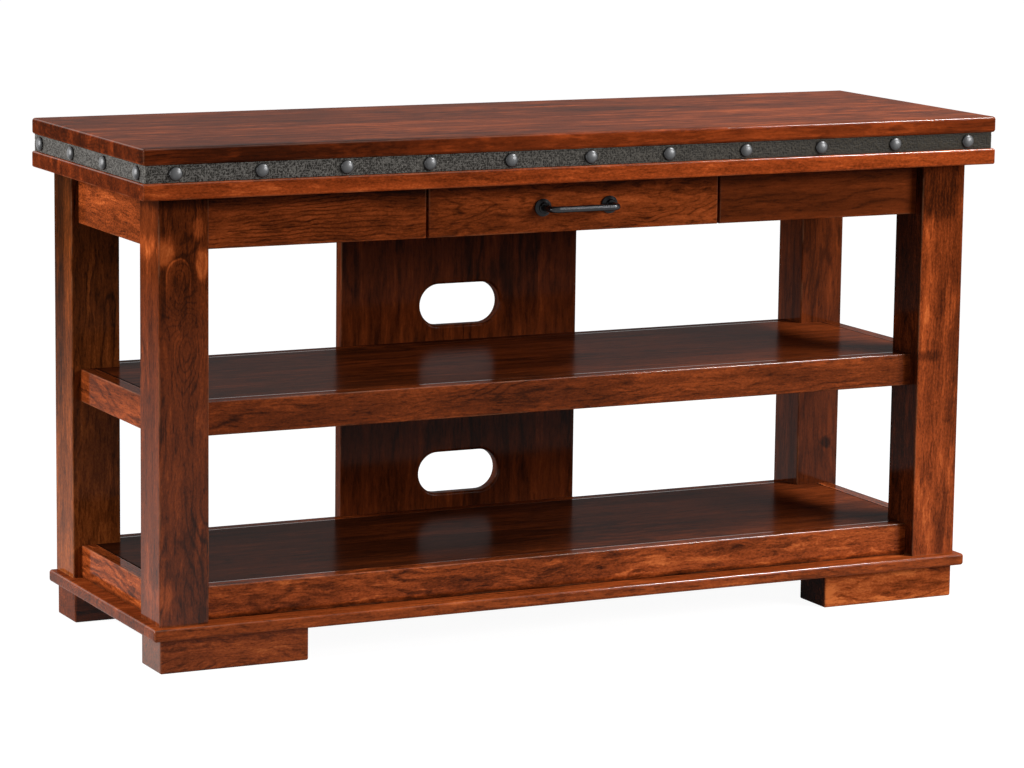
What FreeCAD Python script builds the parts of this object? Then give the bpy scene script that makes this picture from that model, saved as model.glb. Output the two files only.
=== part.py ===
# Open-shelf media console: a solid-wood stand with two open shelves, a drawer under a banded top and a
# wire panel at the back. Millimetres. +Z is up, the front faces -Y, and the origin is on the floor under the
# middle of the top.
import FreeCAD
import Part
import Sketcher
import os
import re

# Driving dimensions, each with the piece that it sizes.
SIZES = (
    ("top_width", 1219, "top slab and sub-top, end to end"),
    ("top_depth", 406, "top slab and sub-top, front to back"),
    ("overall_height", 660, "floor to the top of the slab"),
    ("slab_thickness", 21, "top slab"),
    ("band_height", 22, "iron band, and the core behind it"),
    ("sub_top_thickness", 21, "board below the band"),
    ("overhang_front", 27, "top past the front legs"),
    ("overhang_side", 30, "top past the legs at each end"),
    ("slab_ease", 4.0, "rounded edge of the top slab"),
    ("board_ease", 2.5, "eased edge of the sub-top and the feet"),
    ("band_thickness", 3.0, "iron strip"),
    ("band_inset", 3.0, "face of the band behind the slab's edge"),
    ("band_bend", 5.0, "outer radius of the band's corner bends"),
    ("clavo_diameter", 18.0, "head of a clavo"),
    ("clavo_rise", 5.4, "height of the domed head"),
    ("clavo_shank", 4.0, "shank diameter"),
    ("clavo_shank_length", 16.0, "shank below the head"),
    ("clavo_margin_front", 40.0, "first clavo of the front from the band's end face"),
    ("clavo_margin_end", 26.0, "first clavo of an end from the band's front face"),
    ("clavo_margin_rear", 23.0, "last clavo of an end from the band's rear edge"),
    ("nail_clearance", 0.15, "round a shank or a screw, in radius"),
    ("leg_side", 66, "square leg"),
    ("leg_ease", 2.0, "eased edge of a leg"),
    ("foot_height", 44, "block foot"),
    ("foot_width", 200, "block foot along the front"),
    ("foot_depth", 66, "block foot front to back"),
    ("foot_inset", 1.5, "foot behind the legs' outer faces"),
    ("plinth_thickness", 16, "plinth board"),
    ("plinth_overhang", 11, "plinth past the legs at the front and the ends"),
    ("plinth_round", 4.0, "rounded edge of the plinth"),
    ("shelf_height", 43, "rails of a shelf"),
    ("mid_shelf_top", 337, "floor to the top of the middle shelf"),
    ("shelf_recess_front", 19, "front rail behind the front of the legs"),
    ("shelf_recess_side", 12, "side rail behind the legs' outer faces"),
    ("rail_thickness", 20, "rails of a shelf"),
    ("rail_ease", 1.5, "eased edge of a rail"),
    ("shelf_panel_thickness", 19, "panel between the rails"),
    ("tongue_thickness", 6.0, "tongue of a shelf panel"),
    ("tongue_length", 8.0, "tongue of a shelf panel in its rail"),
    ("notch_clearance", 0.3, "shelf panel round a leg"),
    ("wire_panel_width", 356, "upright panel behind the shelves"),
    ("wire_panel_thickness", 19, "upright panel behind the shelves"),
    ("slot_length", 120, "cable slot, end to end"),
    ("slot_height", 57, "cable slot"),
    ("slot_rise", 49, "middle of a slot above its shelf"),
    ("slot_round", 4.0, "rounded edge of a slot"),
    ("apron_height", 68, "aprons and drawer front"),
    ("apron_thickness", 19, "aprons"),
    ("apron_recess_front", 17, "front apron behind the front of the legs"),
    ("apron_recess_side", 10, "side apron behind the legs' outer faces"),
    ("tenon_length", 25, "tenon in a leg"),
    ("tenon_thickness", 9.5, "tenon in a leg"),
    ("tenon_shoulder", 9, "shoulder above and below a tenon"),
    ("cleat_side", 19, "square cleat under the sub-top"),
    ("hanger_thickness", 19, "drawer hanger"),
    ("hanger_height", 60, "drawer hanger"),
    ("drawer_opening", 424, "between the two lengths of front apron"),
    ("drawer_gap", 3.2, "round the drawer front"),
    ("drawer_front_thickness", 19, "drawer front"),
    ("box_thickness", 12.7, "sides, front and back of the drawer box"),
    ("box_back_gap", 20, "between the drawer box and the back apron"),
    ("box_height", 48, "drawer box"),
    ("box_rise", 8, "drawer box above the lower edge of the drawer front"),
    ("bottom_thickness", 6, "drawer bottom"),
    ("bottom_rise", 8, "drawer bottom above the lower edge of the box"),
    ("groove_depth", 5.5, "drawer bottom in the sides and the front"),
    ("tail_share", 0.64, "widest part of a tail in its pitch"),
    ("tail_slope", 6.0, "run of a tail's slope for a rise of one"),
    ("slide_height", 35, "cabinet member"),
    ("slide_width", 12.7, "slide, from the hanger to the drawer side"),
    ("slide_sheet", 1.2, "sheet metal of a slide"),
    ("slide_clearance", 0.3, "between the members of a slide"),
    ("slide_setback", 3.0, "slide behind the front apron's back face"),
    ("slide_rear_setback", 2.0, "slide short of the drawer box's rear end"),
    ("pull_centres", 96, "between the posts of the pull"),
    ("pull_rod", 8.5, "rod of the pull, diameter"),
    ("pull_projection", 30, "middle of the rod from the drawer front"),
    ("pull_elbow", 9.0, "bend of the rod at its middle line"),
    ("rosette_diameter", 23, "rosette of the pull"),
    ("rosette_step", 14.5, "raised collar of a rosette, diameter"),
    ("rosette_base", 2.5, "straight rim of a rosette"),
    ("rosette_cone", 2.0, "sloping shoulder of a rosette"),
    ("rosette_collar", 3.5, "raised collar of a rosette, height"),
    ("rosette_edge", 1.0, "broken edge of a rosette's collar"),
    ("screw_shank", 4.0, "wood screws and pull screws, diameter"),
    ("screw_head", 8.0, "wood screws and pull screws, head diameter"),
    ("screw_head_height", 2.4, "countersunk head"),
    ("screw_reach", 12.0, "screw in the piece that it holds"),
    ("screw_margin", 30.0, "screw from the edge of the panel that it holds"),
)
FRONT_CLAVO_COUNT = 11
END_CLAVO_COUNT = 4
TAIL_COUNT = 2
POST_COUNT = 2
SAME_PLACE = 1e-4

doc = FreeCAD.newDocument("media_console")
sheet = doc.addObject("Spreadsheet::Sheet", "dims")
for line, (alias, size, meaning) in enumerate(SIZES, 1):
    sheet.set("A%d" % line, meaning)
    sheet.set("B%d" % line, str(size))
    sheet.setAlias("B%d" % line, alias)
doc.recompute()

ALIASES = {alias for alias, size, meaning in SIZES}
pieces = []


# Helpers: a size is a formula in the names of the sheet.
def bind(item, prop, formula):
    def cell(match):
        word = match.group(0)
        return "dims." + word if word in ALIASES else word
    item.setExpression(prop, re.sub(r"[a-z][a-z_0-9]*", cell, str(formula)))


def place(item, spot):
    for axis, formula in zip("xyz", spot):
        bind(item, "Placement.Base." + axis, formula)


def new_piece(label, spot, turn=None):
    piece = doc.addObject("PartDesign::Body", label)
    piece.Label = label
    if turn:
        piece.Placement = FreeCAD.Placement(FreeCAD.Vector(), FreeCAD.Rotation(*turn))
    place(piece, spot)
    pieces.append(piece)
    return piece


def origin_feature(piece, role):
    return [item for item in piece.Origin.OriginFeatures if item.Role == role][0]


def feature(piece, kind, name, sizes, spot=(0, 0, 0), turn=None):
    item = piece.newObject("PartDesign::" + kind, piece.Label + "_" + name)
    for prop, formula in sizes.items():
        bind(item, prop, formula)
    if turn:
        item.Placement = FreeCAD.Placement(FreeCAD.Vector(), FreeCAD.Rotation(*turn))
    place(item, spot)
    return item


def block(piece, kind, name, spot, size):
    return feature(piece, kind + "Box", name, dict(zip(("Length", "Width", "Height"), size)), spot)


def along(axis):
    turns = {"x": (FreeCAD.Vector(0, 1, 0), 90), "y": (FreeCAD.Vector(1, 0, 0), -90), "z": None}
    return turns[axis]


def rod(piece, kind, name, axis, spot, radius, length):
    return feature(piece, kind + "Cylinder", name, {"Radius": radius, "Height": length}, spot, along(axis))


def sketch_on(piece, role, name):
    sketch = piece.newObject("Sketcher::SketchObject", piece.Label + "_" + name)
    sketch.AttachmentSupport = (origin_feature(piece, role), [""])
    sketch.MapMode = "FlatFace"
    return sketch


# A closed outline of straight lines through corners given as pairs of formulas, none below zero. The lines
# start anywhere, and the formulas put them in place.
def outline(piece, role, name, corners):
    sketch = sketch_on(piece, role, name)
    count = len(corners)
    start = [FreeCAD.Vector(number, number ** 2, 0) for number in range(count)]
    for number in range(count):
        sketch.addGeometry(Part.LineSegment(start[number], start[(number + 1) % count]))
    for number in range(count):
        sketch.addConstraint(Sketcher.Constraint("Coincident", number, 2, (number + 1) % count, 1))
    for number, corner in enumerate(corners):
        for kind, axis, formula in zip(("DistanceX", "DistanceY"), (-2, -1), corner):
            if formula == 0:
                sketch.addConstraint(Sketcher.Constraint("PointOnObject", number, 1, axis))
                continue
            index = sketch.addConstraint(Sketcher.Constraint(kind, -1, 1, number, 1, 1.0))
            title = "%s_%d" % (kind, number)
            sketch.renameConstraint(index, title)
            bind(sketch, "Constraints." + title, formula)
    return sketch


def pad(piece, sketch, length, reverse=False):
    item = feature(piece, "Pad", "pad", {"Length": length})
    item.Profile = sketch
    item.Reversed = reverse
    sketch.Visibility = False
    return item


# The edges where two sides of a piece's own box meet, such as "y-z+" for the upper front edge.
def edges_where(item, pairs):
    box = item.Shape.BoundBox
    sides = {"x-": (0, box.XMin), "x+": (0, box.XMax), "y-": (1, box.YMin), "y+": (1, box.YMax),
             "z-": (2, box.ZMin), "z+": (2, box.ZMax)}
    chosen = []
    for number, edge in enumerate(item.Shape.Edges, 1):
        middle = edge.CenterOfMass
        for pair in pairs:
            pair_sides = (sides[pair[:2]], sides[pair[2:]])
            near = [abs(middle[axis] - value) < SAME_PLACE for axis, value in pair_sides]
            if all(near):
                chosen.append("Edge%d" % number)
    return chosen


def round_edges(piece, name, radius, pairs=None, edges=None):
    doc.recompute()
    base = piece.Tip
    chosen = edges or (edges_where(base, pairs) if pairs else [""])
    item = feature(piece, "Fillet", name, {})
    item.Base = (base, chosen)
    item.UseAllEdges = chosen == [""]
    bind(item, "Radius", radius)
    return item


UPRIGHT_EDGES = ("x-y-", "x-y+", "x+y-", "x+y+")


def board(label, spot, size, ease=None, pairs=None):
    piece = new_piece(label, spot)
    length, width, height = size
    shape = ((0, 0), (length, 0), (length, width), (0, width))
    pad(piece, outline(piece, "XY_Plane", "plan", shape), height)
    if ease:
        round_edges(piece, "eased", ease, pairs)
    return piece


# Levels and faces that several pieces share.
BACK = "(top_depth / 2)"
LEG_OUT = "(top_width / 2 - overhang_side)"
LEG_IN = "(top_width / 2 - overhang_side - leg_side)"
LEG_FRONT = "(overhang_front - top_depth / 2)"
LEG_SPAN_Y = "(top_depth - overhang_front)"
PLINTH_TOP = "(foot_height + plinth_thickness)"
LOW_SHELF_TOP = "(foot_height + plinth_thickness + shelf_height)"
UNDER_TOP = "(overall_height - slab_thickness - band_height - sub_top_thickness)"
APRON_LOW = "(overall_height - slab_thickness - band_height - sub_top_thickness - apron_height)"
BAND_LOW = "(overall_height - slab_thickness - band_height)"
BAND_X = "(top_width / 2 - band_inset)"
BAND_Y = "(top_depth / 2 - band_inset)"
APRON_FRONT = "(%s + apron_recess_front)" % LEG_FRONT
APRON_INSIDE = "(%s + apron_recess_front + apron_thickness)" % LEG_FRONT
SHAFT = "(clavo_shank / 2 + nail_clearance)"
SCREW_HOLE = "(screw_shank / 2 + nail_clearance)"

# Top: slab, core and sub-top, flush with the legs at the back.
board("top_slab", ("-top_width / 2", "-" + BACK, "overall_height - slab_thickness"),
      ("top_width", "top_depth", "slab_thickness"), "slab_ease")
board("sub_top", ("-top_width / 2", "-" + BACK, UNDER_TOP),
      ("top_width", "top_depth", "sub_top_thickness"), "board_ease")

core = board("top_core", ("-%s + band_thickness" % BAND_X, "-%s + band_thickness" % BAND_Y, BAND_LOW),
             ("2 * (%s - band_thickness)" % BAND_X, "2 * %s - band_thickness" % BAND_Y, "band_height"),
             "band_bend - band_thickness", ("x-y-", "x+y-"))

# Iron band: one strip, bent round the two front corners and open at the back.
band = new_piece("iron_band", ("-" + BAND_X, "-" + BAND_Y, BAND_LOW))
block(band, "Additive", "strip", (0, 0, 0), ("2 * " + BAND_X, "2 * " + BAND_Y, "band_height"))
round_edges(band, "outer_bend", "band_bend", ("x-y-", "x+y-"))
inside = block(band, "Subtractive", "inside", ("band_thickness", "band_thickness", 0),
               ("2 * (%s - band_thickness)" % BAND_X, "2 * " + BAND_Y, "band_height"))
doc.recompute()
inner_corners = []
for number, edge in enumerate(inside.Shape.Edges, 1):
    half_band = sheet.top_width / 2 - sheet.band_inset
    from_middle = abs(edge.CenterOfMass.x - half_band)
    upright = abs(edge.BoundBox.ZLength - sheet.band_height) < SAME_PLACE
    at_inner_face = abs(edge.CenterOfMass.y - sheet.band_thickness) < SAME_PLACE
    at_end = abs(from_middle - half_band + sheet.band_thickness) < SAME_PLACE
    if upright and at_inner_face and at_end:
        inner_corners.append("Edge%d" % number)
round_edges(band, "inner_bend", "band_bend - band_thickness", edges=inner_corners)


# Rows of nail holes through the band and into the core.
def row(piece, name, originals, role, run, count):
    item = feature(piece, "LinearPattern", name, {"Length": run})
    item.Originals = originals
    item.Direction = (origin_feature(piece, role), [""])
    item.Occurrences = count
    piece.Tip = item
    doc.recompute()
    return item


FRONT_RUN = "(2 * %s - 2 * clavo_margin_front)" % BAND_X
END_RUN = "(2 * %s - clavo_margin_end - clavo_margin_rear)" % BAND_Y
HALF_BAND = "(band_height / 2)"
hole = rod(band, "Subtractive", "front_hole", "y", ("clavo_margin_front", 0, HALF_BAND), SHAFT,
           "band_thickness")
doc.recompute()
row(band, "front_holes", [hole], "X_Axis", FRONT_RUN, FRONT_CLAVO_COUNT)
hole = rod(band, "Subtractive", "end_hole", "x", (0, "clavo_margin_end", HALF_BAND), SHAFT, "2 * " + BAND_X)
doc.recompute()
row(band, "end_holes", [hole], "Y_Axis", END_RUN, END_CLAVO_COUNT)

IN_CORE = "(clavo_shank_length - band_thickness + nail_clearance)"
CORE_X = "(%s - band_thickness)" % BAND_X
hole = rod(core, "Subtractive", "front_hole", "y", ("clavo_margin_front - band_thickness", 0, HALF_BAND),
           SHAFT, IN_CORE)
doc.recompute()
row(core, "front_holes", [hole], "X_Axis", FRONT_RUN, FRONT_CLAVO_COUNT)
for side, start in (("left", 0), ("right", "2 * %s - %s" % (CORE_X, IN_CORE))):
    hole = rod(core, "Subtractive", side + "_hole", "x",
               (start, "clavo_margin_end - band_thickness", HALF_BAND), SHAFT, IN_CORE)
    doc.recompute()
    row(core, side + "_holes", [hole], "Y_Axis", END_RUN, END_CLAVO_COUNT)


# Clavos: a domed head on a round shank, in a row along the band.
CAP_RADIUS = "((clavo_diameter ^ 2 / 4 + clavo_rise ^ 2) / (2 * clavo_rise))"


def clavos(label, spot, turn, role, run, count):
    piece = new_piece(label, spot, turn)
    head = feature(piece, "AdditiveSphere", "head",
                   {"Radius": CAP_RADIUS, "Angle1": "asin(1 - clavo_rise / %s)" % CAP_RADIUS},
                   (0, 0, "clavo_rise - " + CAP_RADIUS))
    shank = rod(piece, "Additive", "shank", "z", (0, 0, "-clavo_shank_length"), "clavo_shank / 2",
                "clavo_shank_length")
    doc.recompute()
    row(piece, "row", [head, shank], role, run, count)


BAND_MIDDLE = "(%s + %s)" % (BAND_LOW, HALF_BAND)
END_ROW_Y = "clavo_margin_end - " + BAND_Y
clavos("clavos_front", ("clavo_margin_front - " + BAND_X, "-" + BAND_Y, BAND_MIDDLE),
       (FreeCAD.Vector(1, 0, 0), 90), "X_Axis", FRONT_RUN, FRONT_CLAVO_COUNT)
for side, x, angle in (("left", "-" + BAND_X, -90), ("right", BAND_X, 90)):
    clavos("clavos_" + side, (x, END_ROW_Y, BAND_MIDDLE), (FreeCAD.Vector(0, 1, 0), angle), "Y_Axis", END_RUN,
           END_CLAVO_COUNT)

# Legs, with a mortise for each apron and rail that ends in them. Each member that runs between legs is
# given by its lower edge, height, thickness and set-back behind the legs' outer faces.
APRON_Z = "(%s - %s)" % (APRON_LOW, PLINTH_TOP)
LOW_RAIL_Z = 0
MID_RAIL_Z = "(mid_shelf_top - shelf_height - %s)" % PLINTH_TOP
FRONT_MEMBERS = ((APRON_Z, "apron_height", "apron_thickness", "apron_recess_front"),
                 (MID_RAIL_Z, "shelf_height", "rail_thickness", "shelf_recess_front"),
                 (LOW_RAIL_Z, "shelf_height", "rail_thickness", "shelf_recess_front"))
BACK_MEMBERS = ((APRON_Z, "apron_height", "apron_thickness", "wire_panel_thickness"),
                (MID_RAIL_Z, "shelf_height", "rail_thickness", "wire_panel_thickness"),
                (LOW_RAIL_Z, "shelf_height", "rail_thickness", "wire_panel_thickness"))
SIDE_MEMBERS = ((APRON_Z, "apron_height", "apron_thickness", "apron_recess_side"),
                (MID_RAIL_Z, "shelf_height", "rail_thickness", "shelf_recess_side"),
                (LOW_RAIL_Z, "shelf_height", "rail_thickness", "shelf_recess_side"))


def leg(end, side):
    x = "-" + LEG_OUT if side == "left" else LEG_IN
    y = LEG_FRONT if end == "front" else "%s - leg_side" % BACK
    piece = board("leg_%s_%s" % (end, side), (x, y, PLINTH_TOP),
                  ("leg_side", "leg_side", "%s - %s" % (UNDER_TOP, PLINTH_TOP)), "leg_ease", UPRIGHT_EDGES)
    inner_x = "leg_side - tenon_length" if side == "left" else 0
    inner_y = "leg_side - tenon_length" if end == "front" else 0
    long_members = FRONT_MEMBERS if end == "front" else BACK_MEMBERS
    for number, (low, height, thickness, recess) in enumerate(long_members):
        cheek = "(%s + (%s - tenon_thickness) / 2)" % (recess, thickness)
        start = cheek if end == "front" else "leg_side - tenon_thickness - " + cheek
        block(piece, "Subtractive", "mortise_x%d" % number, (inner_x, start, "%s + tenon_shoulder" % low),
              ("tenon_length", "tenon_thickness", height + " - 2 * tenon_shoulder"))
    for number, (low, height, thickness, recess) in enumerate(SIDE_MEMBERS):
        cheek = "(%s + (%s - tenon_thickness) / 2)" % (recess, thickness)
        start = cheek if side == "left" else "leg_side - tenon_thickness - " + cheek
        block(piece, "Subtractive", "mortise_y%d" % number, (start, inner_y, "%s + tenon_shoulder" % low),
              ("tenon_thickness", "tenon_length", height + " - 2 * tenon_shoulder"))
    return piece


for end in ("front", "rear"):
    for side in ("left", "right"):
        leg(end, side)


# Members between the legs, with a tenon at each end that meets a leg.
def member_x(label, start, length, y, low, height, thickness, pairs, ends=("left", "right")):
    piece = board(label, (start, y, low), (length, thickness, height), "rail_ease", pairs)
    cheek = "(%s - tenon_thickness) / 2" % thickness
    for end in ends:
        x = "-tenon_length" if end == "left" else length
        block(piece, "Additive", "tenon_" + end, (x, cheek, "tenon_shoulder"),
              ("tenon_length", "tenon_thickness", height + " - 2 * tenon_shoulder"))
    return piece


def member_y(label, x, low, height, thickness, pairs):
    length = "(%s - 2 * leg_side)" % LEG_SPAN_Y
    piece = board(label, (x, LEG_FRONT + " + leg_side", low), (thickness, length, height), "rail_ease", pairs)
    cheek = "(%s - tenon_thickness) / 2" % thickness
    for end, y in (("front", "-tenon_length"), ("rear", length)):
        block(piece, "Additive", "tenon_" + end, (cheek, y, "tenon_shoulder"),
              ("tenon_thickness", "tenon_length", height + " - 2 * tenon_shoulder"))
    return piece


APRON_SIDE_LENGTH = "(%s - drawer_opening / 2)" % LEG_IN
member_x("apron_front_left", "-" + LEG_IN, APRON_SIDE_LENGTH, APRON_FRONT, APRON_LOW, "apron_height",
         "apron_thickness", ("y-z-", "y+z-", "x+y-"), ("left",))
member_x("apron_front_right", "drawer_opening / 2", APRON_SIDE_LENGTH, APRON_FRONT, APRON_LOW, "apron_height",
         "apron_thickness", ("y-z-", "y+z-", "x-y-"), ("right",))
APRON_BACK_Y = "(%s - wire_panel_thickness - apron_thickness)" % BACK
back_apron = member_x("apron_back", "-" + LEG_IN, "2 * " + LEG_IN, APRON_BACK_Y, APRON_LOW, "apron_height",
                      "apron_thickness", ("y-z-", "y+z-"))
member_y("apron_left", "apron_recess_side - " + LEG_OUT, APRON_LOW, "apron_height", "apron_thickness",
         ("x-z-", "x+z-"))
member_y("apron_right", "%s - apron_recess_side - apron_thickness" % LEG_OUT, APRON_LOW, "apron_height",
         "apron_thickness", ("x-z-", "x+z-"))

CLEAT_X = "(%s - apron_recess_side - apron_thickness)" % LEG_OUT
for side, x in (("left", "-" + CLEAT_X), ("right", "%s - cleat_side" % CLEAT_X)):
    board("top_cleat_" + side, (x, LEG_FRONT + " + leg_side", UNDER_TOP + " - cleat_side"),
          ("cleat_side", "%s - 2 * leg_side" % LEG_SPAN_Y, "cleat_side"))

# Shelves: four rails tenoned into the legs, and a panel whose tongues run in their grooves.
PANEL_X = "(%s - shelf_recess_side - rail_thickness)" % LEG_OUT
PANEL_FRONT = "(%s + shelf_recess_front + rail_thickness)" % LEG_FRONT
PANEL_BACK = "(%s - wire_panel_thickness - rail_thickness)" % BACK
PANEL_DEPTH = "(%s - %s)" % (PANEL_BACK, PANEL_FRONT)
SIDE_LENGTH = "(%s - 2 * leg_side)" % LEG_SPAN_Y
GROOVE_Z = "(shelf_height - (shelf_panel_thickness + tongue_thickness) / 2)"
TONGUE_Z = "((shelf_panel_thickness - tongue_thickness) / 2)"
rear_rails = []


def shelf(name, top):
    low = "(%s - shelf_height)" % top
    front = member_x(name + "_rail_front", "-" + LEG_IN, "2 * " + LEG_IN, LEG_FRONT + " + shelf_recess_front",
                     low, "shelf_height", "rail_thickness", ("y-z-", "y-z+"))
    rear = member_x(name + "_rail_rear", "-" + LEG_IN, "2 * " + LEG_IN, PANEL_BACK, low, "shelf_height",
                    "rail_thickness", ("y+z-", "y+z+"))
    left = member_y(name + "_rail_left", "-%s - rail_thickness" % PANEL_X, low, "shelf_height",
                    "rail_thickness", ("x-z-", "x-z+", "x+z+"))
    right = member_y(name + "_rail_right", PANEL_X, low, "shelf_height", "rail_thickness",
                     ("x+z-", "x+z+", "x-z+"))
    inner = "rail_thickness - tongue_length"
    long_groove = ("2 * " + LEG_IN, "tongue_length", "tongue_thickness")
    side_groove = ("tongue_length", SIDE_LENGTH, "tongue_thickness")
    block(front, "Subtractive", "groove", (0, inner, GROOVE_Z), long_groove)
    block(rear, "Subtractive", "groove", (0, 0, GROOVE_Z), long_groove)
    block(left, "Subtractive", "groove", (inner, 0, GROOVE_Z), side_groove)
    block(right, "Subtractive", "groove", (0, 0, GROOVE_Z), side_groove)
    rear_rails.append(rear)

    panel = board(name + "_panel", ("-" + PANEL_X, PANEL_FRONT, "%s - shelf_panel_thickness" % top),
                  ("2 * " + PANEL_X, PANEL_DEPTH, "shelf_panel_thickness"))
    notch_x = "(%s - %s + notch_clearance)" % (PANEL_X, LEG_IN)
    notches = (("front", 0, "(%s + leg_side - %s + notch_clearance)" % (LEG_FRONT, PANEL_FRONT)),
               ("rear", None, "(%s - %s + leg_side + notch_clearance)" % (PANEL_BACK, BACK)))
    for end, y, depth in notches:
        for side, x in (("left", 0), ("right", "2 * %s - %s" % (PANEL_X, notch_x))):
            start = y if y == 0 else "%s - %s" % (PANEL_DEPTH, depth)
            block(panel, "Subtractive", "notch_%s_%s" % (end, side), (x, start, 0),
                  (notch_x, depth, "shelf_panel_thickness"))
    long_tongue = ("2 * (%s - notch_clearance)" % LEG_IN, "tongue_length", "tongue_thickness")
    side_tongue = ("tongue_length", SIDE_LENGTH + " - 2 * notch_clearance", "tongue_thickness")
    side_start = "(%s + leg_side - %s + notch_clearance)" % (LEG_FRONT, PANEL_FRONT)
    block(panel, "Additive", "tongue_front", (notch_x, "-tongue_length", TONGUE_Z), long_tongue)
    block(panel, "Additive", "tongue_rear", (notch_x, PANEL_DEPTH, TONGUE_Z), long_tongue)
    block(panel, "Additive", "tongue_left", ("-tongue_length", side_start, TONGUE_Z), side_tongue)
    block(panel, "Additive", "tongue_right", ("2 * " + PANEL_X, side_start, TONGUE_Z), side_tongue)


shelf("mid_shelf", "mid_shelf_top")
shelf("low_shelf", LOW_SHELF_TOP)

# Plinth and feet.
board("plinth", ("-%s - plinth_overhang" % LEG_OUT, LEG_FRONT + " - plinth_overhang", "foot_height"),
      ("2 * (%s + plinth_overhang)" % LEG_OUT, LEG_SPAN_Y + " + plinth_overhang", "plinth_thickness"),
      "plinth_round")
FOOT_X = "(%s - foot_inset)" % LEG_OUT
for end, y in (("front", LEG_FRONT + " + foot_inset"), ("rear", BACK + " - foot_inset - foot_depth")):
    for side, x in (("left", "-" + FOOT_X), ("right", FOOT_X + " - foot_width")):
        board("foot_%s_%s" % (end, side), (x, y, 0), ("foot_width", "foot_depth", "foot_height"),
              "board_ease")

# Wire panel: stands on the plinth behind the shelves, with a cable slot above each shelf.
wire_panel = board("wire_panel", ("-wire_panel_width / 2", BACK + " - wire_panel_thickness", PLINTH_TOP),
                   ("wire_panel_width", "wire_panel_thickness", "%s - %s" % (UNDER_TOP, PLINTH_TOP)),
                   "rail_ease", UPRIGHT_EDGES)
SLOT_END = "((slot_length - slot_height) / 2)"
SLOT_LEFT = "(wire_panel_width / 2 - %s)" % SLOT_END
SLOT_RIGHT = "(wire_panel_width / 2 + %s)" % SLOT_END
for name, shelf_top in (("lower", LOW_SHELF_TOP), ("upper", "mid_shelf_top")):
    middle = "(%s + slot_rise - %s)" % (shelf_top, PLINTH_TOP)
    block(wire_panel, "Subtractive", name + "_slot", (SLOT_LEFT, 0, "%s - slot_height / 2" % middle),
          ("2 * " + SLOT_END, "wire_panel_thickness", "slot_height"))
    for end, x in (("left", SLOT_LEFT), ("right", SLOT_RIGHT)):
        rod(wire_panel, "Subtractive", "%s_slot_%s" % (name, end), "y", (x, 0, middle), "slot_height / 2",
            "wire_panel_thickness")
doc.recompute()
slot_edges = []
panel_top = wire_panel.Tip.Shape.BoundBox.ZMax
for number, edge in enumerate(wire_panel.Tip.Shape.Edges, 1):
    box = edge.BoundBox
    inside_width = abs(edge.CenterOfMass.x - sheet.wire_panel_width / 2) <= sheet.slot_length / 2
    inside_length = box.ZMin > SAME_PLACE and box.ZMax < panel_top - SAME_PLACE
    if box.YLength < SAME_PLACE and inside_width and inside_length:
        slot_edges.append("Edge%d" % number)
round_edges(wire_panel, "slot_rounds", "slot_round", edges=slot_edges)


# A countersunk screw, or its hole. The head is flush with the face that the screw is driven into from
# behind, towards -Y.
INTO_FACE = (FreeCAD.Vector(1, 0, 0), 90)


def screw(piece, kind, name, x, face, z, length, clearance=0):
    wide = "screw_head / 2 + %s" % clearance
    narrow = "screw_shank / 2 + %s" % clearance
    feature(piece, kind + "Cone", name + "_head",
            {"Radius1": wide, "Radius2": narrow, "Height": "screw_head_height"}, (x, face, z), INTO_FACE)
    feature(piece, kind + "Cylinder", name + "_shank",
            {"Radius": narrow, "Height": "%s + %s" % (length, clearance)}, (x, face, z), INTO_FACE)


PILOT_DEPTH = "(screw_reach + nail_clearance)"
PANEL_SCREW = "(wire_panel_thickness + screw_reach)"
SCREW_X = "(wire_panel_width / 2 - screw_margin)"
SCREW_LEVELS = ("(%s + shelf_height / 2)" % PLINTH_TOP, "(mid_shelf_top - shelf_height / 2)",
                "(%s + apron_height / 2)" % APRON_LOW)
panel_screws = new_piece("wire_panel_screws", (0, BACK, 0))
for number, level in enumerate(SCREW_LEVELS):
    for side, sign in (("left", "-"), ("right", "")):
        name = "%s%d" % (side, number)
        screw(panel_screws, "Additive", name, sign + SCREW_X, 0, level, PANEL_SCREW)
        screw(wire_panel, "Subtractive", name, "wire_panel_width / 2 + %s%s" % (sign, SCREW_X),
              "wire_panel_thickness", "%s - %s" % (level, PLINTH_TOP), PANEL_SCREW, "nail_clearance")
for holder, depth, height in ((rear_rails[1], "rail_thickness", "shelf_height"),
                              (rear_rails[0], "rail_thickness", "shelf_height"),
                              (back_apron, "apron_thickness", "apron_height")):
    for side, sign in (("left", "-"), ("right", "+")):
        rod(holder, "Subtractive", "screw_hole_" + side, "y",
            ("%s %s %s" % (LEG_IN, sign, SCREW_X), "%s - %s" % (depth, PILOT_DEPTH), height + " / 2"),
            SCREW_HOLE, PILOT_DEPTH)

# Drawer hangers, from the front apron to the back apron.
for side, x in (("left", "-drawer_opening / 2 - hanger_thickness"), ("right", "drawer_opening / 2")):
    board("drawer_hanger_" + side, (x, APRON_INSIDE, UNDER_TOP + " - hanger_height"),
          ("hanger_thickness", "%s - %s" % (APRON_BACK_Y, APRON_INSIDE), "hanger_height"))

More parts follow.
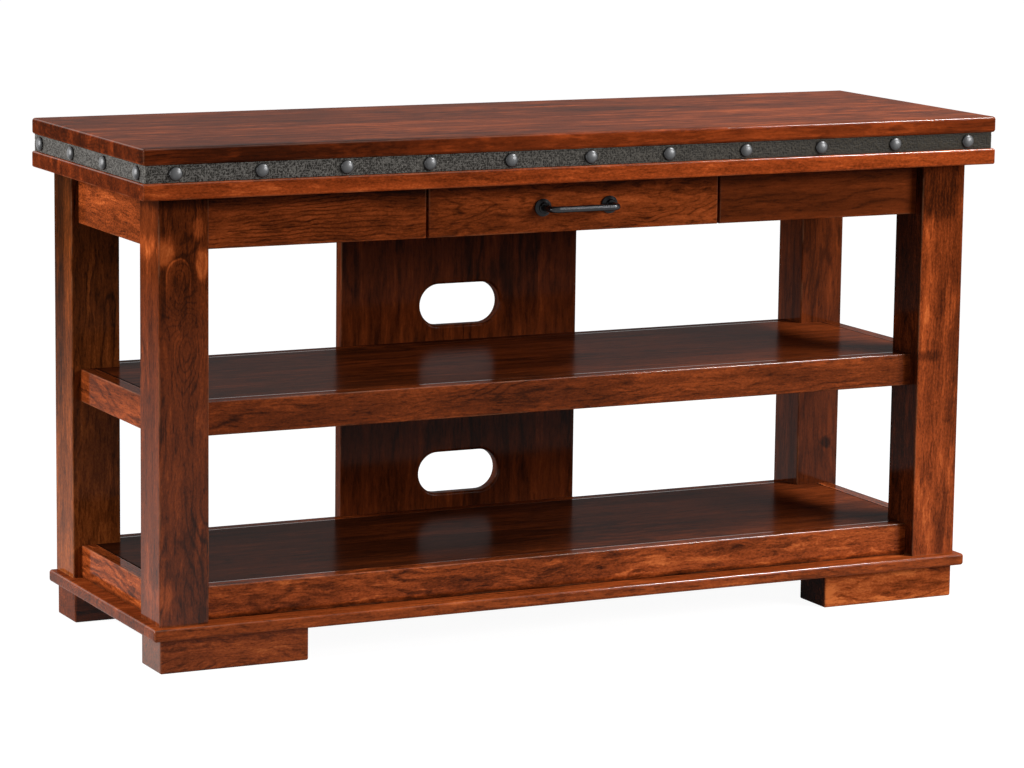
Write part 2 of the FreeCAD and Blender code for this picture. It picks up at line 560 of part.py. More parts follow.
# Drawer front and dovetailed box. The box pieces share one corner, at the lower front left of the box.
FRONT_WIDTH = "(drawer_opening - 2 * drawer_gap)"
DRAWER_BACK_FACE = "(%s + drawer_front_thickness)" % APRON_FRONT
drawer_front = board("drawer_front", ("-%s / 2" % FRONT_WIDTH, APRON_FRONT, APRON_LOW),
                     (FRONT_WIDTH, "drawer_front_thickness", "apron_height - drawer_gap"), "rail_ease",
                     ("y-z-", "y-z+", "x-y-", "x+y-"))
BOX_WIDTH = "(drawer_opening - 2 * slide_width)"
BOX_LOW = "(%s + box_rise)" % APRON_LOW
BOX_CORNER = ("-%s / 2" % BOX_WIDTH, DRAWER_BACK_FACE, BOX_LOW)
BOTTOM_TOP = "(bottom_rise + bottom_thickness)"
BOX_LENGTH = "(%s - %s - box_back_gap)" % (APRON_BACK_Y, DRAWER_BACK_FACE)
BOX_RUN = "(%s - 2 * box_thickness)" % BOX_LENGTH
BACK_START = "(%s - box_thickness)" % BOX_LENGTH
INSIDE_WIDTH = "(%s - 2 * box_thickness)" % BOX_WIDTH


# Tails of one corner, widest at the end of the side. The same wedges make the tails and cut their sockets.
def tails(piece, kind, name, x, end, low):
    pitch = "((box_height - %s) / %d)" % (low, TAIL_COUNT)
    wide = "(%s * tail_share / 2)" % pitch
    narrow = "(%s - box_thickness / tail_slope)" % wide
    near, far = (wide, narrow) if end == "front" else (narrow, wide)
    start = 0 if end == "front" else BACK_START
    for number in range(TAIL_COUNT):
        middle = "(%s + (%d + 0.5) * %s)" % (low, number, pitch)
        feature(piece, kind + "Wedge", "%s_%s%d" % (name, end, number),
                {"Xmin": x, "Xmax": "%s + box_thickness" % x, "X2min": x, "X2max": "%s + box_thickness" % x,
                 "Ymin": start, "Ymax": "%s + box_thickness" % start,
                 "Zmin": "%s - %s" % (middle, near), "Zmax": "%s + %s" % (middle, near),
                 "Z2min": "%s - %s" % (middle, far), "Z2max": "%s + %s" % (middle, far)})


RIGHT_SIDE = "(%s - box_thickness)" % BOX_WIDTH
for side, x, groove_x in (("left", 0, "box_thickness - groove_depth"), ("right", RIGHT_SIDE, RIGHT_SIDE)):
    piece = new_piece("drawer_side_" + side, BOX_CORNER)
    block(piece, "Additive", "stock", (x, "box_thickness", 0), ("box_thickness", BOX_RUN, "box_height"))
    tails(piece, "Additive", "tail", x, "front", 0)
    tails(piece, "Additive", "tail", x, "back", BOTTOM_TOP)
    block(piece, "Subtractive", "groove", (groove_x, "box_thickness", "bottom_rise"),
          ("groove_depth", BOX_RUN, "bottom_thickness"))

box_front = new_piece("drawer_box_front", BOX_CORNER)
block(box_front, "Additive", "stock", (0, 0, 0), (BOX_WIDTH, "box_thickness", "box_height"))
box_back = new_piece("drawer_box_back", BOX_CORNER)
block(box_back, "Additive", "stock", (0, BACK_START, BOTTOM_TOP),
      (BOX_WIDTH, "box_thickness", "box_height - " + BOTTOM_TOP))
for side, x in (("left", 0), ("right", RIGHT_SIDE)):
    tails(box_front, "Subtractive", "socket_" + side, x, "front", 0)
    tails(box_back, "Subtractive", "socket_" + side, x, "back", BOTTOM_TOP)
block(box_front, "Subtractive", "groove", ("box_thickness", "box_thickness - groove_depth", "bottom_rise"),
      (INSIDE_WIDTH, "groove_depth", "bottom_thickness"))

drawer_bottom = new_piece("drawer_bottom", BOX_CORNER)
GROOVE_EDGE = "(box_thickness - groove_depth)"
block(drawer_bottom, "Additive", "sheet", (GROOVE_EDGE, "box_thickness", "bottom_rise"),
      ("%s - 2 * %s" % (BOX_WIDTH, GROOVE_EDGE), BOX_RUN, "bottom_thickness"))
block(drawer_bottom, "Additive", "front_edge", ("box_thickness", GROOVE_EDGE, "bottom_rise"),
      (INSIDE_WIDTH, "groove_depth", "bottom_thickness"))
block(drawer_bottom, "Additive", "back_edge", ("box_thickness", BACK_START, "bottom_rise"),
      (INSIDE_WIDTH, "box_thickness", "bottom_thickness"))

# Screws that hold the drawer front to the box, driven from inside the box.
FRONT_SCREW = "(box_thickness + screw_reach)"
FRONT_SCREW_X = "(%s / 2 - box_thickness - screw_margin)" % BOX_WIDTH
FRONT_SCREW_Z = "((%s + box_height) / 2)" % BOTTOM_TOP
front_screws = new_piece("drawer_front_screws", (0, DRAWER_BACK_FACE + " + box_thickness", BOX_LOW))
for side, sign in (("left", "-"), ("right", "+")):
    screw(front_screws, "Additive", side, "0 %s %s" % (sign, FRONT_SCREW_X), 0, FRONT_SCREW_Z, FRONT_SCREW)
    screw(box_front, "Subtractive", "screw_" + side, "%s / 2 %s %s" % (BOX_WIDTH, sign, FRONT_SCREW_X),
          "box_thickness", FRONT_SCREW_Z, FRONT_SCREW, "nail_clearance")
    rod(drawer_front, "Subtractive", "screw_" + side, "y",
        ("%s / 2 %s %s" % (FRONT_WIDTH, sign, FRONT_SCREW_X), "drawer_front_thickness - " + PILOT_DEPTH,
         "box_rise + " + FRONT_SCREW_Z), SCREW_HOLE, PILOT_DEPTH)

# Bar pull: a rod bent at two elbows, which ends in two stepped rosettes on the drawer front.
PULL_Z = "((apron_height - drawer_gap) / 2)"
POST = "(pull_projection - pull_elbow)"
pull = new_piece("pull_bar", (0, APRON_FRONT, "%s + %s" % (APRON_LOW, PULL_Z)))
rod(pull, "Additive", "bar", "x", ("pull_elbow - pull_centres / 2", "-pull_projection", 0), "pull_rod / 2",
    "pull_centres - 2 * pull_elbow")
for side, sign, turned in (("left", "-", 180), ("right", "", -90)):
    elbow = feature(pull, "AdditiveTorus", "elbow_" + side,
                    {"Radius1": "pull_elbow", "Radius2": "pull_rod / 2"},
                    ("%s(pull_centres / 2 - pull_elbow)" % sign, "-" + POST, 0),
                    (FreeCAD.Vector(0, 0, 1), turned))
    elbow.Angle3 = 90
    rod(pull, "Additive", "post_" + side, "y", (sign + "pull_centres / 2", "-" + POST, 0), "pull_rod / 2",
        POST)
for side, sign in (("left", "-"), ("right", "")):
    rod(pull, "Subtractive", "thread_" + side, "y", (sign + "pull_centres / 2", "-" + PILOT_DEPTH, 0),
        SCREW_HOLE, PILOT_DEPTH)

ROSETTE_HEIGHT = "(rosette_base + rosette_cone + rosette_collar)"
ROSETTE_BORE = "(pull_rod / 2 + nail_clearance)"
rosettes = new_piece("pull_rosettes", ("-pull_centres / 2", APRON_FRONT, "%s + %s" % (APRON_LOW, PULL_Z)),
                     (FreeCAD.Vector(1, 0, 0), 180))
profile = outline(rosettes, "XY_Plane", "profile",
                  ((ROSETTE_BORE, 0), ("rosette_diameter / 2", 0), ("rosette_diameter / 2", "rosette_base"),
                   ("rosette_step / 2", "rosette_base + rosette_cone"),
                   ("rosette_step / 2", ROSETTE_HEIGHT + " - rosette_edge"),
                   ("rosette_step / 2 - rosette_edge", ROSETTE_HEIGHT), (ROSETTE_BORE, ROSETTE_HEIGHT)))
turned = feature(rosettes, "Revolution", "turned", {})
turned.Profile = profile
turned.ReferenceAxis = (profile, ["V_Axis"])
turned.Angle = 360
doc.recompute()
row(rosettes, "pair", [turned], "X_Axis", "pull_centres", POST_COUNT)

PULL_SCREW = "(box_thickness + drawer_front_thickness + screw_reach)"
PULL_SCREW_Z = "(%s - box_rise)" % PULL_Z
pull_screws = new_piece("pull_screws", (0, DRAWER_BACK_FACE + " + box_thickness", BOX_LOW))
for side, sign in (("left", "-"), ("right", "+")):
    screw(pull_screws, "Additive", side, "0 %s pull_centres / 2" % sign, 0, PULL_SCREW_Z, PULL_SCREW)
    screw(box_front, "Subtractive", "pull_screw_" + side, "%s / 2 %s pull_centres / 2" % (BOX_WIDTH, sign),
          "box_thickness", PULL_SCREW_Z, PULL_SCREW, "nail_clearance")
    rod(drawer_front, "Subtractive", "pull_screw_" + side, "y",
        ("%s / 2 %s pull_centres / 2" % (FRONT_WIDTH, sign), 0, PULL_Z), SCREW_HOLE, "drawer_front_thickness")

# Drawer slides: three nested channels on each side, drawn across from the hanger's face to the drawer side.
SLIDE_Z = "(%s + box_height / 2)" % BOX_LOW
SLIDE_Y = "(%s + slide_setback)" % APRON_INSIDE
SLIDE_LENGTH = "(%s - slide_setback - slide_rear_setback)" % BOX_LENGTH
GAP = "(slide_sheet + slide_clearance)"


def channel(label, side, near, far, height, web):
    start = "-drawer_opening / 2" if side == "left" else "drawer_opening / 2 - slide_width"
    piece = new_piece(label + "_" + side, (start, SLIDE_Y, "%s - %s / 2" % (SLIDE_Z, height)))

    lip = "slide_sheet"
    top = "(%s - slide_sheet)" % height
    if web == "near":
        inner = "%s + slide_sheet" % near
        shape = ((near, 0), (far, 0), (far, lip), (inner, lip), (inner, top), (far, top), (far, height),
                 (near, height))
    else:
        inner = "%s - slide_sheet" % far
        shape = ((near, 0), (far, 0), (far, height), (near, height), (near, top), (inner, top), (inner, lip),
                 (near, lip))
    if side == "right":
        shape = [("slide_width - (%s)" % x, z) for x, z in shape]
    pad(piece, outline(piece, "XZ_Plane", "section", shape), SLIDE_LENGTH, reverse=True)


MIDDLE_HEIGHT = "(slide_height - 2 * %s)" % GAP
DRAWER_HEIGHT = "(slide_height - 4 * %s)" % GAP
FLANGE = "(slide_width - slide_sheet - slide_clearance)"
for side in ("left", "right"):
    channel("slide_cabinet", side, 0, FLANGE, "slide_height", "near")
    channel("slide_middle", side, GAP, FLANGE, MIDDLE_HEIGHT, "near")
    channel("slide_drawer", side, "2 * " + GAP, "slide_width", DRAWER_HEIGHT, "far")

# Every feature has to be sound before a piece is written.
doc.recompute()
faults = [item.Name for item in doc.Objects if "Invalid" in item.State or "Error" in item.State]
faults += [piece.Label for piece in pieces if piece.Shape.isNull() or not piece.Shape.isValid()]
if faults:
    raise RuntimeError("unsound: " + ", ".join(faults))

os.makedirs("parts", exist_ok=True)
for piece in pieces:
    piece.Shape.exportStep("parts/%s.step" % piece.Label)
    box = piece.Shape.BoundBox
    print("%-22s solids %2d  x %7.1f %7.1f  y %7.1f %7.1f  z %6.1f %6.1f" % (
        piece.Label, len(piece.Shape.Solids), box.XMin, box.XMax, box.YMin, box.YMax, box.ZMin, box.ZMax))
print(len(pieces), "pieces")
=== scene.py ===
# %% [markdown]
# # An open-shelf media console
# The console is a solid-wood stand: a thick top with an iron band nailed round it, a shallow drawer, two open
# shelves and an upright panel with cable slots. The frame already holds every piece at its real size, so this
# lesson gives the pieces their finish, and models what a plain solid can't show: the hammered iron, the
# forged nail heads and the screws. The pull keeps its solids from the frame and only gets its finish.

# %% Load the frame
import math

import bmesh
import bpy
from mathutils import Matrix, Vector, noise


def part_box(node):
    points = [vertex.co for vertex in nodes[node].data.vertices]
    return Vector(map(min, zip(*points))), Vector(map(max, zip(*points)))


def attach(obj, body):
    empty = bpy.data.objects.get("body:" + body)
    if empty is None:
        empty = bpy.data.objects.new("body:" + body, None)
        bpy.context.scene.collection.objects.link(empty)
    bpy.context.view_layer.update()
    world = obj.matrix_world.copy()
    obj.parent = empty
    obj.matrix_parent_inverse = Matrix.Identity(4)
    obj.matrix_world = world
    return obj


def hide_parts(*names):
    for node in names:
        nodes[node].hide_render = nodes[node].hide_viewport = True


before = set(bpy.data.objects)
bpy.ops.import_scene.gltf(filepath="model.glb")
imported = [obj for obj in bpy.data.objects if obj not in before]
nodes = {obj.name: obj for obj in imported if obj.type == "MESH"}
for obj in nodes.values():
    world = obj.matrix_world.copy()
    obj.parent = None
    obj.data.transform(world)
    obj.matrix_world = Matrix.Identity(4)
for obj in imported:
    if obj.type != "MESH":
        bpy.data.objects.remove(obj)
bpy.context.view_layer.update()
MM = 0.001

# %% [markdown]
# ## Writing shaders as arithmetic
# A finish is a web of nodes, and most of them only add, multiply or compare. Linking these by hand hides
# the idea, so a small class wraps a socket and lets Python's own operators add the Math nodes. One method
# adds any other node: it sets the node's options first, then its sockets.


# %% Sockets that can be added and multiplied
class Wire:
    """A socket of a finish. Arithmetic on it adds Math nodes."""

    def __init__(self, finish, socket):
        self.finish = finish
        self.socket = socket

    def math(self, operation, *others):
        return self.finish.maths(operation, self, *others)

    def __add__(self, other):
        return self.math("ADD", other)

    def __sub__(self, other):
        return self.math("SUBTRACT", other)

    def __rsub__(self, other):
        return self.finish.maths("SUBTRACT", other, self)

    def __mul__(self, other):
        return self.math("MULTIPLY", other)

    def __truediv__(self, other):
        return self.math("DIVIDE", other)

    def __pow__(self, other):
        return self.math("POWER", other)

    __radd__ = __add__
    __rmul__ = __mul__


class Finish:
    """A material in the making. Its Principled shader is fed at the end, by surface()."""

    def __init__(self, name):
        self.material = bpy.data.materials.new(name)
        self.material.use_nodes = True
        self.tree = self.material.node_tree
        self.shader = self.tree.nodes["Principled BSDF"]

    def feed(self, socket, value):
        if isinstance(value, Wire):
            self.tree.links.new(value.socket, socket)
        else:
            socket.default_value = value

    def node(self, kind, settings=(), values=(), out=0):
        made = self.tree.nodes.new(kind)
        for key, value in dict(settings).items():
            if key == "stops":
                ramp = made.color_ramp.elements
                while len(ramp) < len(value):
                    ramp.new(1.0)
                for element, (position, colour) in zip(ramp, value):
                    element.position = position
                    element.color = (*colour, 1.0)
            else:
                setattr(made, key, value)
        for key, value in dict(values).items():
            self.feed(made.inputs[key], value)
        return Wire(self, made.outputs[out])

    def maths(self, operation, *values):
        return self.node("ShaderNodeMath", {"operation": operation}, enumerate(values))

    def split(self, vector):
        return [self.node("ShaderNodeSeparateXYZ", (), {"Vector": vector}, out) for out in "XYZ"]

    def vector(self, x, y, z):
        return self.node("ShaderNodeCombineXYZ", (), {"X": x, "Y": y, "Z": z})

    def noise(self, vector, detail=2.0, roughness=0.5):
        values = {"Vector": vector, "Scale": 1.0, "Detail": detail, "Roughness": roughness}
        return self.node("ShaderNodeTexNoise", (), values)

    def step(self, value, low, high):
        values = {"Value": value, "From Min": low, "From Max": high}
        return self.node("ShaderNodeMapRange", {"interpolation_type": "SMOOTHSTEP"}, values)

    def mix(self, share, first, second):
        values = {0: share, 6: first, 7: second}
        return self.node("ShaderNodeMix", {"data_type": "RGBA"}, values, 2)

    def surface(self, **sockets):
        for name, value in sockets.items():
            self.feed(self.shader.inputs[name.replace("_", " ")], value)
        return self.material


print("shader helpers ready")

# %% [markdown]
# ## Stained cherry
# Rustic cherry under a red-brown stain is mottled: the stain sinks deep where the fibres surface, so every
# board has smoky and glowing patches as well as its growth rings. A picture can't be used here, and a picture
# would show the same board on every side. A solid texture is better: the rings are cylinders round the pith
# of the tree, warped by noise and cut by the board's faces, so edges and ends show the right grain without
# any work. Each board is its own piece of wood, with its own seed, tone and strength of figure.

# %% The colours of the stain, from smoky to glowing
STAIN = (
    (0.00, (0.014, 0.0042, 0.0020)),
    (0.25, (0.046, 0.0098, 0.0028)),
    (0.50, (0.135, 0.0258, 0.0058)),
    (0.75, (0.315, 0.0620, 0.0132)),
    (1.00, (0.580, 0.1480, 0.0360)),
)
# Pale colour for rubbed edges, and for end grain partly as painted sheen
PALE_RUB_AND_SHEEN = (0.42, 0.20, 0.105, 1.0)
WHITE = (1.0, 1.0, 1.0, 1.0)
print("stain:", len(STAIN), "colours")

# %% What a board can be told, with the values of an ordinary one
CHERRY = {
    "tone": 0.50,  # place on the scale of the stain
    "slope": 0.0,  # change of tone along the grain, for each metre
    "ends": (0.0, 0.0),  # darker stain on the end grain, and how much of it is paler, partly rubbed and partly painted sheen
    "lid": 0.0,  # darker on the upper face
    "inside": 0.0,  # painted shade on the face that looks left
    "rear": 0.0,  # darker towards the rear of a leg and towards its top
    "corner": 0.0,  # painted shade along the lower edge, where the part below meets it
    "eave_shadow": 0.0,  # painted shadow under the overhang of the top
    "seam": None,  # distance of a dark joint from the ends
    "streak": 0.40,  # strength of the long streaks
    "cloud": 0.34,  # strength of broad, soft changes of tone
    "curl": 0.26,  # strength of the short, wavy figure
    "fibre": 0.36,  # strength of fine lines along the grain
    "speck": 0.42,  # strength of the finest grain
    "pores": 0.14,  # darkness of the pores
    "smudge": 0.10,  # darkness of spots where the stain sank in
    "glow": 0.12,  # brightness of spots that took little stain
    "ring": 0.24,  # darkness of the late wood in the growth rings
    "ring_width": 4.5 * MM,
    "ring_edge": 5.0,  # how narrow the late wood is
    "pith": (12 * MM, -95 * MM),  # the middle of the rings, across the board and through it
    "lean": 0.035,  # tilt of the rings along the board
    "wobble": 18 * MM,  # slow bend of the rings
    "sway": 18 * MM,  # sideways drift of the grain
    "coat": (0.02, 0.14),  # clear coat high up and near the floor
    "blur": 0.10,  # roughness of the coat
    "worn": 0.22,  # more coat on worn edges that look up
    "polish": 0.0,  # more coat on the upper face
    "flank": 0.0,  # more coat near the floor on the face that looks left
    "tint": WHITE,  # colour over the stain, except on the upper face
    "glue": None,  # width of the strips of a glued-up board
    "eye": None,  # place along and across, length and width of an eye in the grain
    "marks": (),  # single patches
}
print("a board has", len(CHERRY), "values")

# %% Noise that follows the grain
# Waves in a metre along and across the grain, a shift that keeps the noises apart, detail and roughness
NOISES = {
    "ripple": (24.0, 60.0, 8.7, 4.0, 0.60),
    "sway": (7.0, 18.0, 8.1, 2.0, 0.55),
    "flick": (38.0, 70.0, 2.3, 3.0, 0.55),
    "bow": (3.2, 11.0, 3.1, 3.0, 0.55),
    "ring": (5.0, 18.0, 5.3, 3.0, 0.55),
    "streak": (3.0, 60.0, 1.7, 4.0, 0.60),
    "cloud": (6.5, 15.0, 6.1, 3.0, 0.55),
    "curl": (36.0, 170.0, 7.7, 4.0, 0.70),
    "fibre": (20.0, 270.0, 2.9, 4.0, 0.65),
    "speck": (240.0, 520.0, 12.7, 3.0, 0.65),
    "smudge": (18.0, 85.0, 4.9, 4.0, 0.65),
    "glow": (12.0, 55.0, 11.3, 4.0, 0.65),
    "rub": (18.0, 18.0, 4.4, 3.0, 0.55),
    "pores": (60.0, 380.0, 9.9, 1.0, 0.55),
}
SEED_STEP = 1.931
SEED_SKEW = 0.7
LOOKS_UP = (0.6, 0.95)
LOOKS_LEFT = (0.5, 0.9)


class Board:
    """A cherry board in the making. order names the axes along the grain, across the board and through it."""

    def __init__(self, piece, order, seed, look):
        self.look = look
        self.seed = seed
        self.low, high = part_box(piece)
        self.half = (high - self.low) / 2
        self.finish = Finish("cherry_" + piece)
        self.xyz = self.finish.split(self.finish.node("ShaderNodeTexCoord", out="Object"))
        self.local = [wire - place for wire, place in zip(self.xyz, (self.low + high) / 2)]
        self.along, self.across, self.deep = (self.local["xyz".index(axis)] for axis in order)
        self.tone = self.along * look["slope"] + look["tone"]
        self.swirl = 0.0
        self.facing = self.finish.split(self.finish.node("ShaderNodeTexCoord", out="Normal"))
        self.upward = self.finish.step(self.facing[2], *LOOKS_UP)
        self.leftward = self.finish.step(self.facing[0] * -1.0, *LOOKS_LEFT)
        self.end_grain = self.facing["xyz".index(order[0])].math("ABSOLUTE") ** 4.0

    def noise(self, name):
        lengthwise, crosswise, shift, detail, roughness = NOISES[name]
        start = self.seed * SEED_STEP + shift
        sideways = self.across * crosswise + start * SEED_SKEW
        place = self.finish.vector(self.along * lengthwise + start, sideways, self.deep * crosswise)
        return self.finish.noise(place, detail, roughness)

    def patches(self, name, low, high):
        """Noise that is 0 below low and 1 above high, so that it makes patches."""
        return self.finish.step(self.noise(name), low, high)


print("grain:", len(NOISES), "noises")

# %% Marks, an eye, and strips glued edge to edge
MARK_RAGGEDNESS = 3.0
MARK_EDGE = (0.15, 0.75)
EYE_RIPPLE = 0.25
EYE_TAIL = 4.5
EYE_RIM = 0.15
RIM_WIDTH = (0.03, 0.10)
EYE_HALO = 0.16
HALO_START = (0.98, 1.1)
HALO_END = (1.15, 1.6)
EYE_BEND = 24 * MM
STRIP_VARIETY = 0.12
STRIP_SEED = 0.713
STRIP_SHIFT = 1.37
STRIP_DEPTH = 0.29


def add_marks(board, ripple):
    """Single patches with ragged edges. Some bend the rings as well."""
    for start, side, length, width, shade, bend in board.look["marks"]:
        reach = ((board.along - start) / length) ** 2.0 + ((board.across - side) / width) ** 2.0
        board.swirl = (reach * -1.0).math("EXPONENT") * bend + board.swirl
        ragged = ((ripple - 0.5) * MARK_RAGGEDNESS - reach).math("EXPONENT")
        board.tone = board.finish.step(ragged, *MARK_EDGE) * shade + board.tone


def add_eye(board, ripple):
    """A pale arch in a dark halo, open below, with the rings bent round it."""
    start, side, length, width = board.look["eye"]
    step = board.finish.step
    above = (board.along - start).math("MAXIMUM", 0.0) / length
    round_arch = (above ** 2.0 + ((board.across - side) / width) ** 2.0).math("SQRT")
    arch = round_arch + (ripple - 0.5) * EYE_RIPPLE
    fading = step(board.along, start - EYE_TAIL * length, start)
    rim = (1.0 - step((arch - 1.0).math("ABSOLUTE"), *RIM_WIDTH)) * fading ** 4.0
    halo = step(arch, *HALO_START) * (1.0 - step(arch, *HALO_END)) * fading
    board.swirl = board.swirl + (arch * -0.7).math("EXPONENT") * fading * EYE_BEND
    board.tone = board.tone + rim * EYE_RIM - halo * EYE_HALO


def cut_into_strips(board):
    """Each strip is another board: its grain comes from another place, and its tone differs."""
    width = board.look["glue"]
    number = (board.across / width).math("FLOOR")
    chance = board.finish.node(
        "ShaderNodeTexWhiteNoise", {"noise_dimensions": "1D"}, {"W": number + board.seed * STRIP_SEED})
    board.across = board.across - (number + 0.5) * width
    board.along = board.along + number * STRIP_SHIFT
    board.deep = board.deep + number * STRIP_DEPTH
    board.tone = board.tone + (chance - 0.5) * STRIP_VARIETY


print("marks ready")

# %% Growth rings and figure
FLICK_SHARE = 0.3
FIGURES = ("streak", "cloud", "curl", "fibre", "speck")
RING_EDGE = (0.35, 0.70)
SPOT_EDGE = (0.53, 0.66)


def growth_rings(board):
    """The late wood, which is stronger in some places than in others."""
    look = board.look
    sway = board.noise("sway")
    flick = board.noise("flick")
    board.across = board.across + (sway - 0.5) * look["sway"] + (flick - 0.5) * (FLICK_SHARE * look["sway"])
    pith_across, pith_deep = look["pith"]
    radius = ((board.across - pith_across) ** 2.0 + (board.deep - pith_deep) ** 2.0).math("SQRT")
    rings = radius + board.along * look["lean"] + board.noise("bow") * (2 * look["wobble"]) + board.swirl
    wave = (rings * (2 * math.pi / look["ring_width"])).math("SINE") * 0.5 + 0.5
    return wave ** look["ring_edge"] * board.patches("ring", *RING_EDGE)


def figured(board):
    """The stain's value with its rings, spots and figure, and the figures by name."""
    look = board.look
    value = board.tone - growth_rings(board) * look["ring"]
    value = value + board.patches("glow", *SPOT_EDGE) * look["glow"]
    value = value - board.patches("smudge", *SPOT_EDGE) * look["smudge"]
    figures = {name: board.noise(name) for name in FIGURES}
    for name, figure in figures.items():
        value = value + (figure - 0.5) * look[name]
    return value, figures


print("figures:", ", ".join(FIGURES))

# %% Darker end grain, painted shade on left faces, along lower edges and under the top, dark joints, worn edges
EAVE_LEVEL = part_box("sub_top")[0].z
EAVE_SHADOW_BAND = (-20 * MM, -6 * MM)
REAR_BAND = (-16 * MM, 4 * MM)
REAR_RISE = (-60 * MM, 120 * MM)
CORNER_BAND = (1.0 * MM, 7.0 * MM)
SEAM_BAND = (0.8 * MM, 2.8 * MM)
SEAM_DARKNESS = 0.35
WORN_BAND = (0.6 * MM, 2.6 * MM)


def shaded(board, value):
    look = board.look
    step = board.finish.step
    darker_ends, _ = look["ends"]
    value = value - board.end_grain * darker_ends - board.upward * look["lid"]
    # Painted shade on the faces that look left
    value = value - board.leftward * look["inside"]
    if look["rear"]:
        value = value - step(board.local[1], *REAR_BAND) * step(board.local[2], *REAR_RISE) * look["rear"]
    # Painted shade along the lower edge, where the board meets the part below
    value = value - (1.0 - step(board.xyz[2] - board.low.z, *CORNER_BAND)) * look["corner"]
    # Painted shadow under the overhang of the top
    return value - step(board.xyz[2] - EAVE_LEVEL, *EAVE_SHADOW_BAND) * look["eave_shadow"]


def seam_share(board):
    """1 in the joints at a panel's ends, and 0 elsewhere."""
    if board.look["seam"] is None:
        return 0.0
    gap = board.half.x - board.local[0].math("ABSOLUTE")
    return 1.0 - board.finish.step(gap - board.look["seam"], *SEAM_BAND)


def edge_share(board):
    """1 where two faces meet, and 0 away from there: the second smallest distance to a face tells."""
    gaps = [side - wire.math("ABSOLUTE") for side, wire in zip(board.half, board.local)]
    smaller = gaps[0].math("MINIMUM", gaps[1])
    larger = gaps[0].math("MAXIMUM", gaps[1])
    second = smaller.math("MAXIMUM", larger.math("MINIMUM", gaps[2]))
    return 1.0 - board.finish.step(second, *WORN_BAND)


print("eave at", round(EAVE_LEVEL, 3), "m")

# %% The clear coat and the whole finish
COAT_LEVELS = (0.50, 0.06)
TILTS_UP = (0.12, 0.45)
PORE_EDGE = (0.56, 0.70)
RUB_EDGE = (0.38, 0.62)
RUBBED_SHARE = 0.16
GRAIN_DEPTH = 0.3 * MM


def coat_weight(board, edge):
    look = board.look
    upper, lower = look["coat"]
    levels = {"Value": board.xyz[2], "From Min": COAT_LEVELS[0], "From Max": COAT_LEVELS[1]}
    low_down = board.finish.node("ShaderNodeMapRange", (), levels)
    shine = edge * board.finish.step(board.facing[2], *TILTS_UP) * look["worn"]
    gain = board.leftward * look["flank"] + (lower - upper)
    return low_down * gain + board.upward * look["polish"] + (shine + upper)


def cherry(piece, order, seed, changes):
    board = Board(piece, order, seed, {**CHERRY, **changes})
    look, finish = board.look, board.finish
    ripple = board.noise("ripple")
    add_marks(board, ripple)
    if look["eye"]:
        add_eye(board, ripple)
    if look["glue"]:
        cut_into_strips(board)
    value, figures = figured(board)
    edge = edge_share(board)
    seam = seam_share(board)
    value = shaded(board, value) - seam * SEAM_DARKNESS
    value = value - board.patches("pores", *PORE_EDGE) * look["pores"]
    stain = finish.node("ShaderNodeValToRGB", {"stops": STAIN}, {"Fac": value})
    tint = finish.mix(board.upward, look["tint"], WHITE)
    tinted = finish.node("ShaderNodeMix", {"data_type": "RGBA", "blend_type": "MULTIPLY"},
                         {0: 1.0, 6: stain, 7: tint}, 2)
    # Edges rubbed pale, and end grain made pale, partly rubbed and partly painted sheen
    _, paler_ends_and_sheen = look["ends"]
    rub = board.patches("rub", *RUB_EDGE) * edge
    colour = finish.mix(rub * RUBBED_SHARE + board.end_grain * paler_ends_and_sheen, tinted, PALE_RUB_AND_SHEEN)
    grain = {"Strength": 0.10, "Distance": GRAIN_DEPTH, "Height": figures["fibre"]}
    return finish.surface(
        Base_Color=colour,
        Roughness=figures["cloud"] * 0.2 + 0.35,
        Specular_IOR_Level=0.0,
        Coat_Weight=coat_weight(board, edge) * (1.0 - seam),
        Coat_Roughness=look["blur"],
        Normal=finish.node("ShaderNodeBump", (), grain),
    )


def dress(piece, material):
    """Gives a node of the frame its finish."""
    slots = nodes[piece].data.materials
    slots.clear()
    slots.append(material)


print("cherry ready")

# %% [markdown]
# ## Every board its own wood
# No two boards of a console match, and the eye knows a tree by its knots and its crooked rings. Each board
# could have a material of its own, written out. A table is shorter and easier to compare: it names the way
# the grain runs, a seed, and only what differs from an ordinary board. Noise would put a knot anywhere, so
# the marks that catch the eye are placed one by one.

# %% Kinds of figure, and marks
LYING, ON_EDGE, ENDWAYS, UPRIGHT = "xyz", "xzy", "yzx", "zxy"
CALM = {
    "pores": 0.07, "smudge": 0.05, "glow": 0.07, "curl": 0.20, "fibre": 0.30, "speck": 0.20, "ring": 0.12,
    "sway": 12 * MM,
}
BLOTCHED = {
    "smudge": 0.18, "glow": 0.18, "curl": 0.30, "speck": 0.55, "sway": 22 * MM, "wobble": 30 * MM,
}
RED = (1.0, 0.86, 0.80, 1.0)
ROSE = (1.0, 0.95, 0.95, 1.0)
OLIVE = (1.0, 1.22, 1.15, 1.0)


def mark(along, across, length, width, shade=0.0, bend=0.0):
    """A patch at a place from the board's middle, in mm: paler above 0, and bend shifts the rings."""
    return along * MM, across * MM, length * MM, width * MM, shade, bend * MM


print("ways of the grain:", LYING, ON_EDGE, ENDWAYS, UPRIGHT)
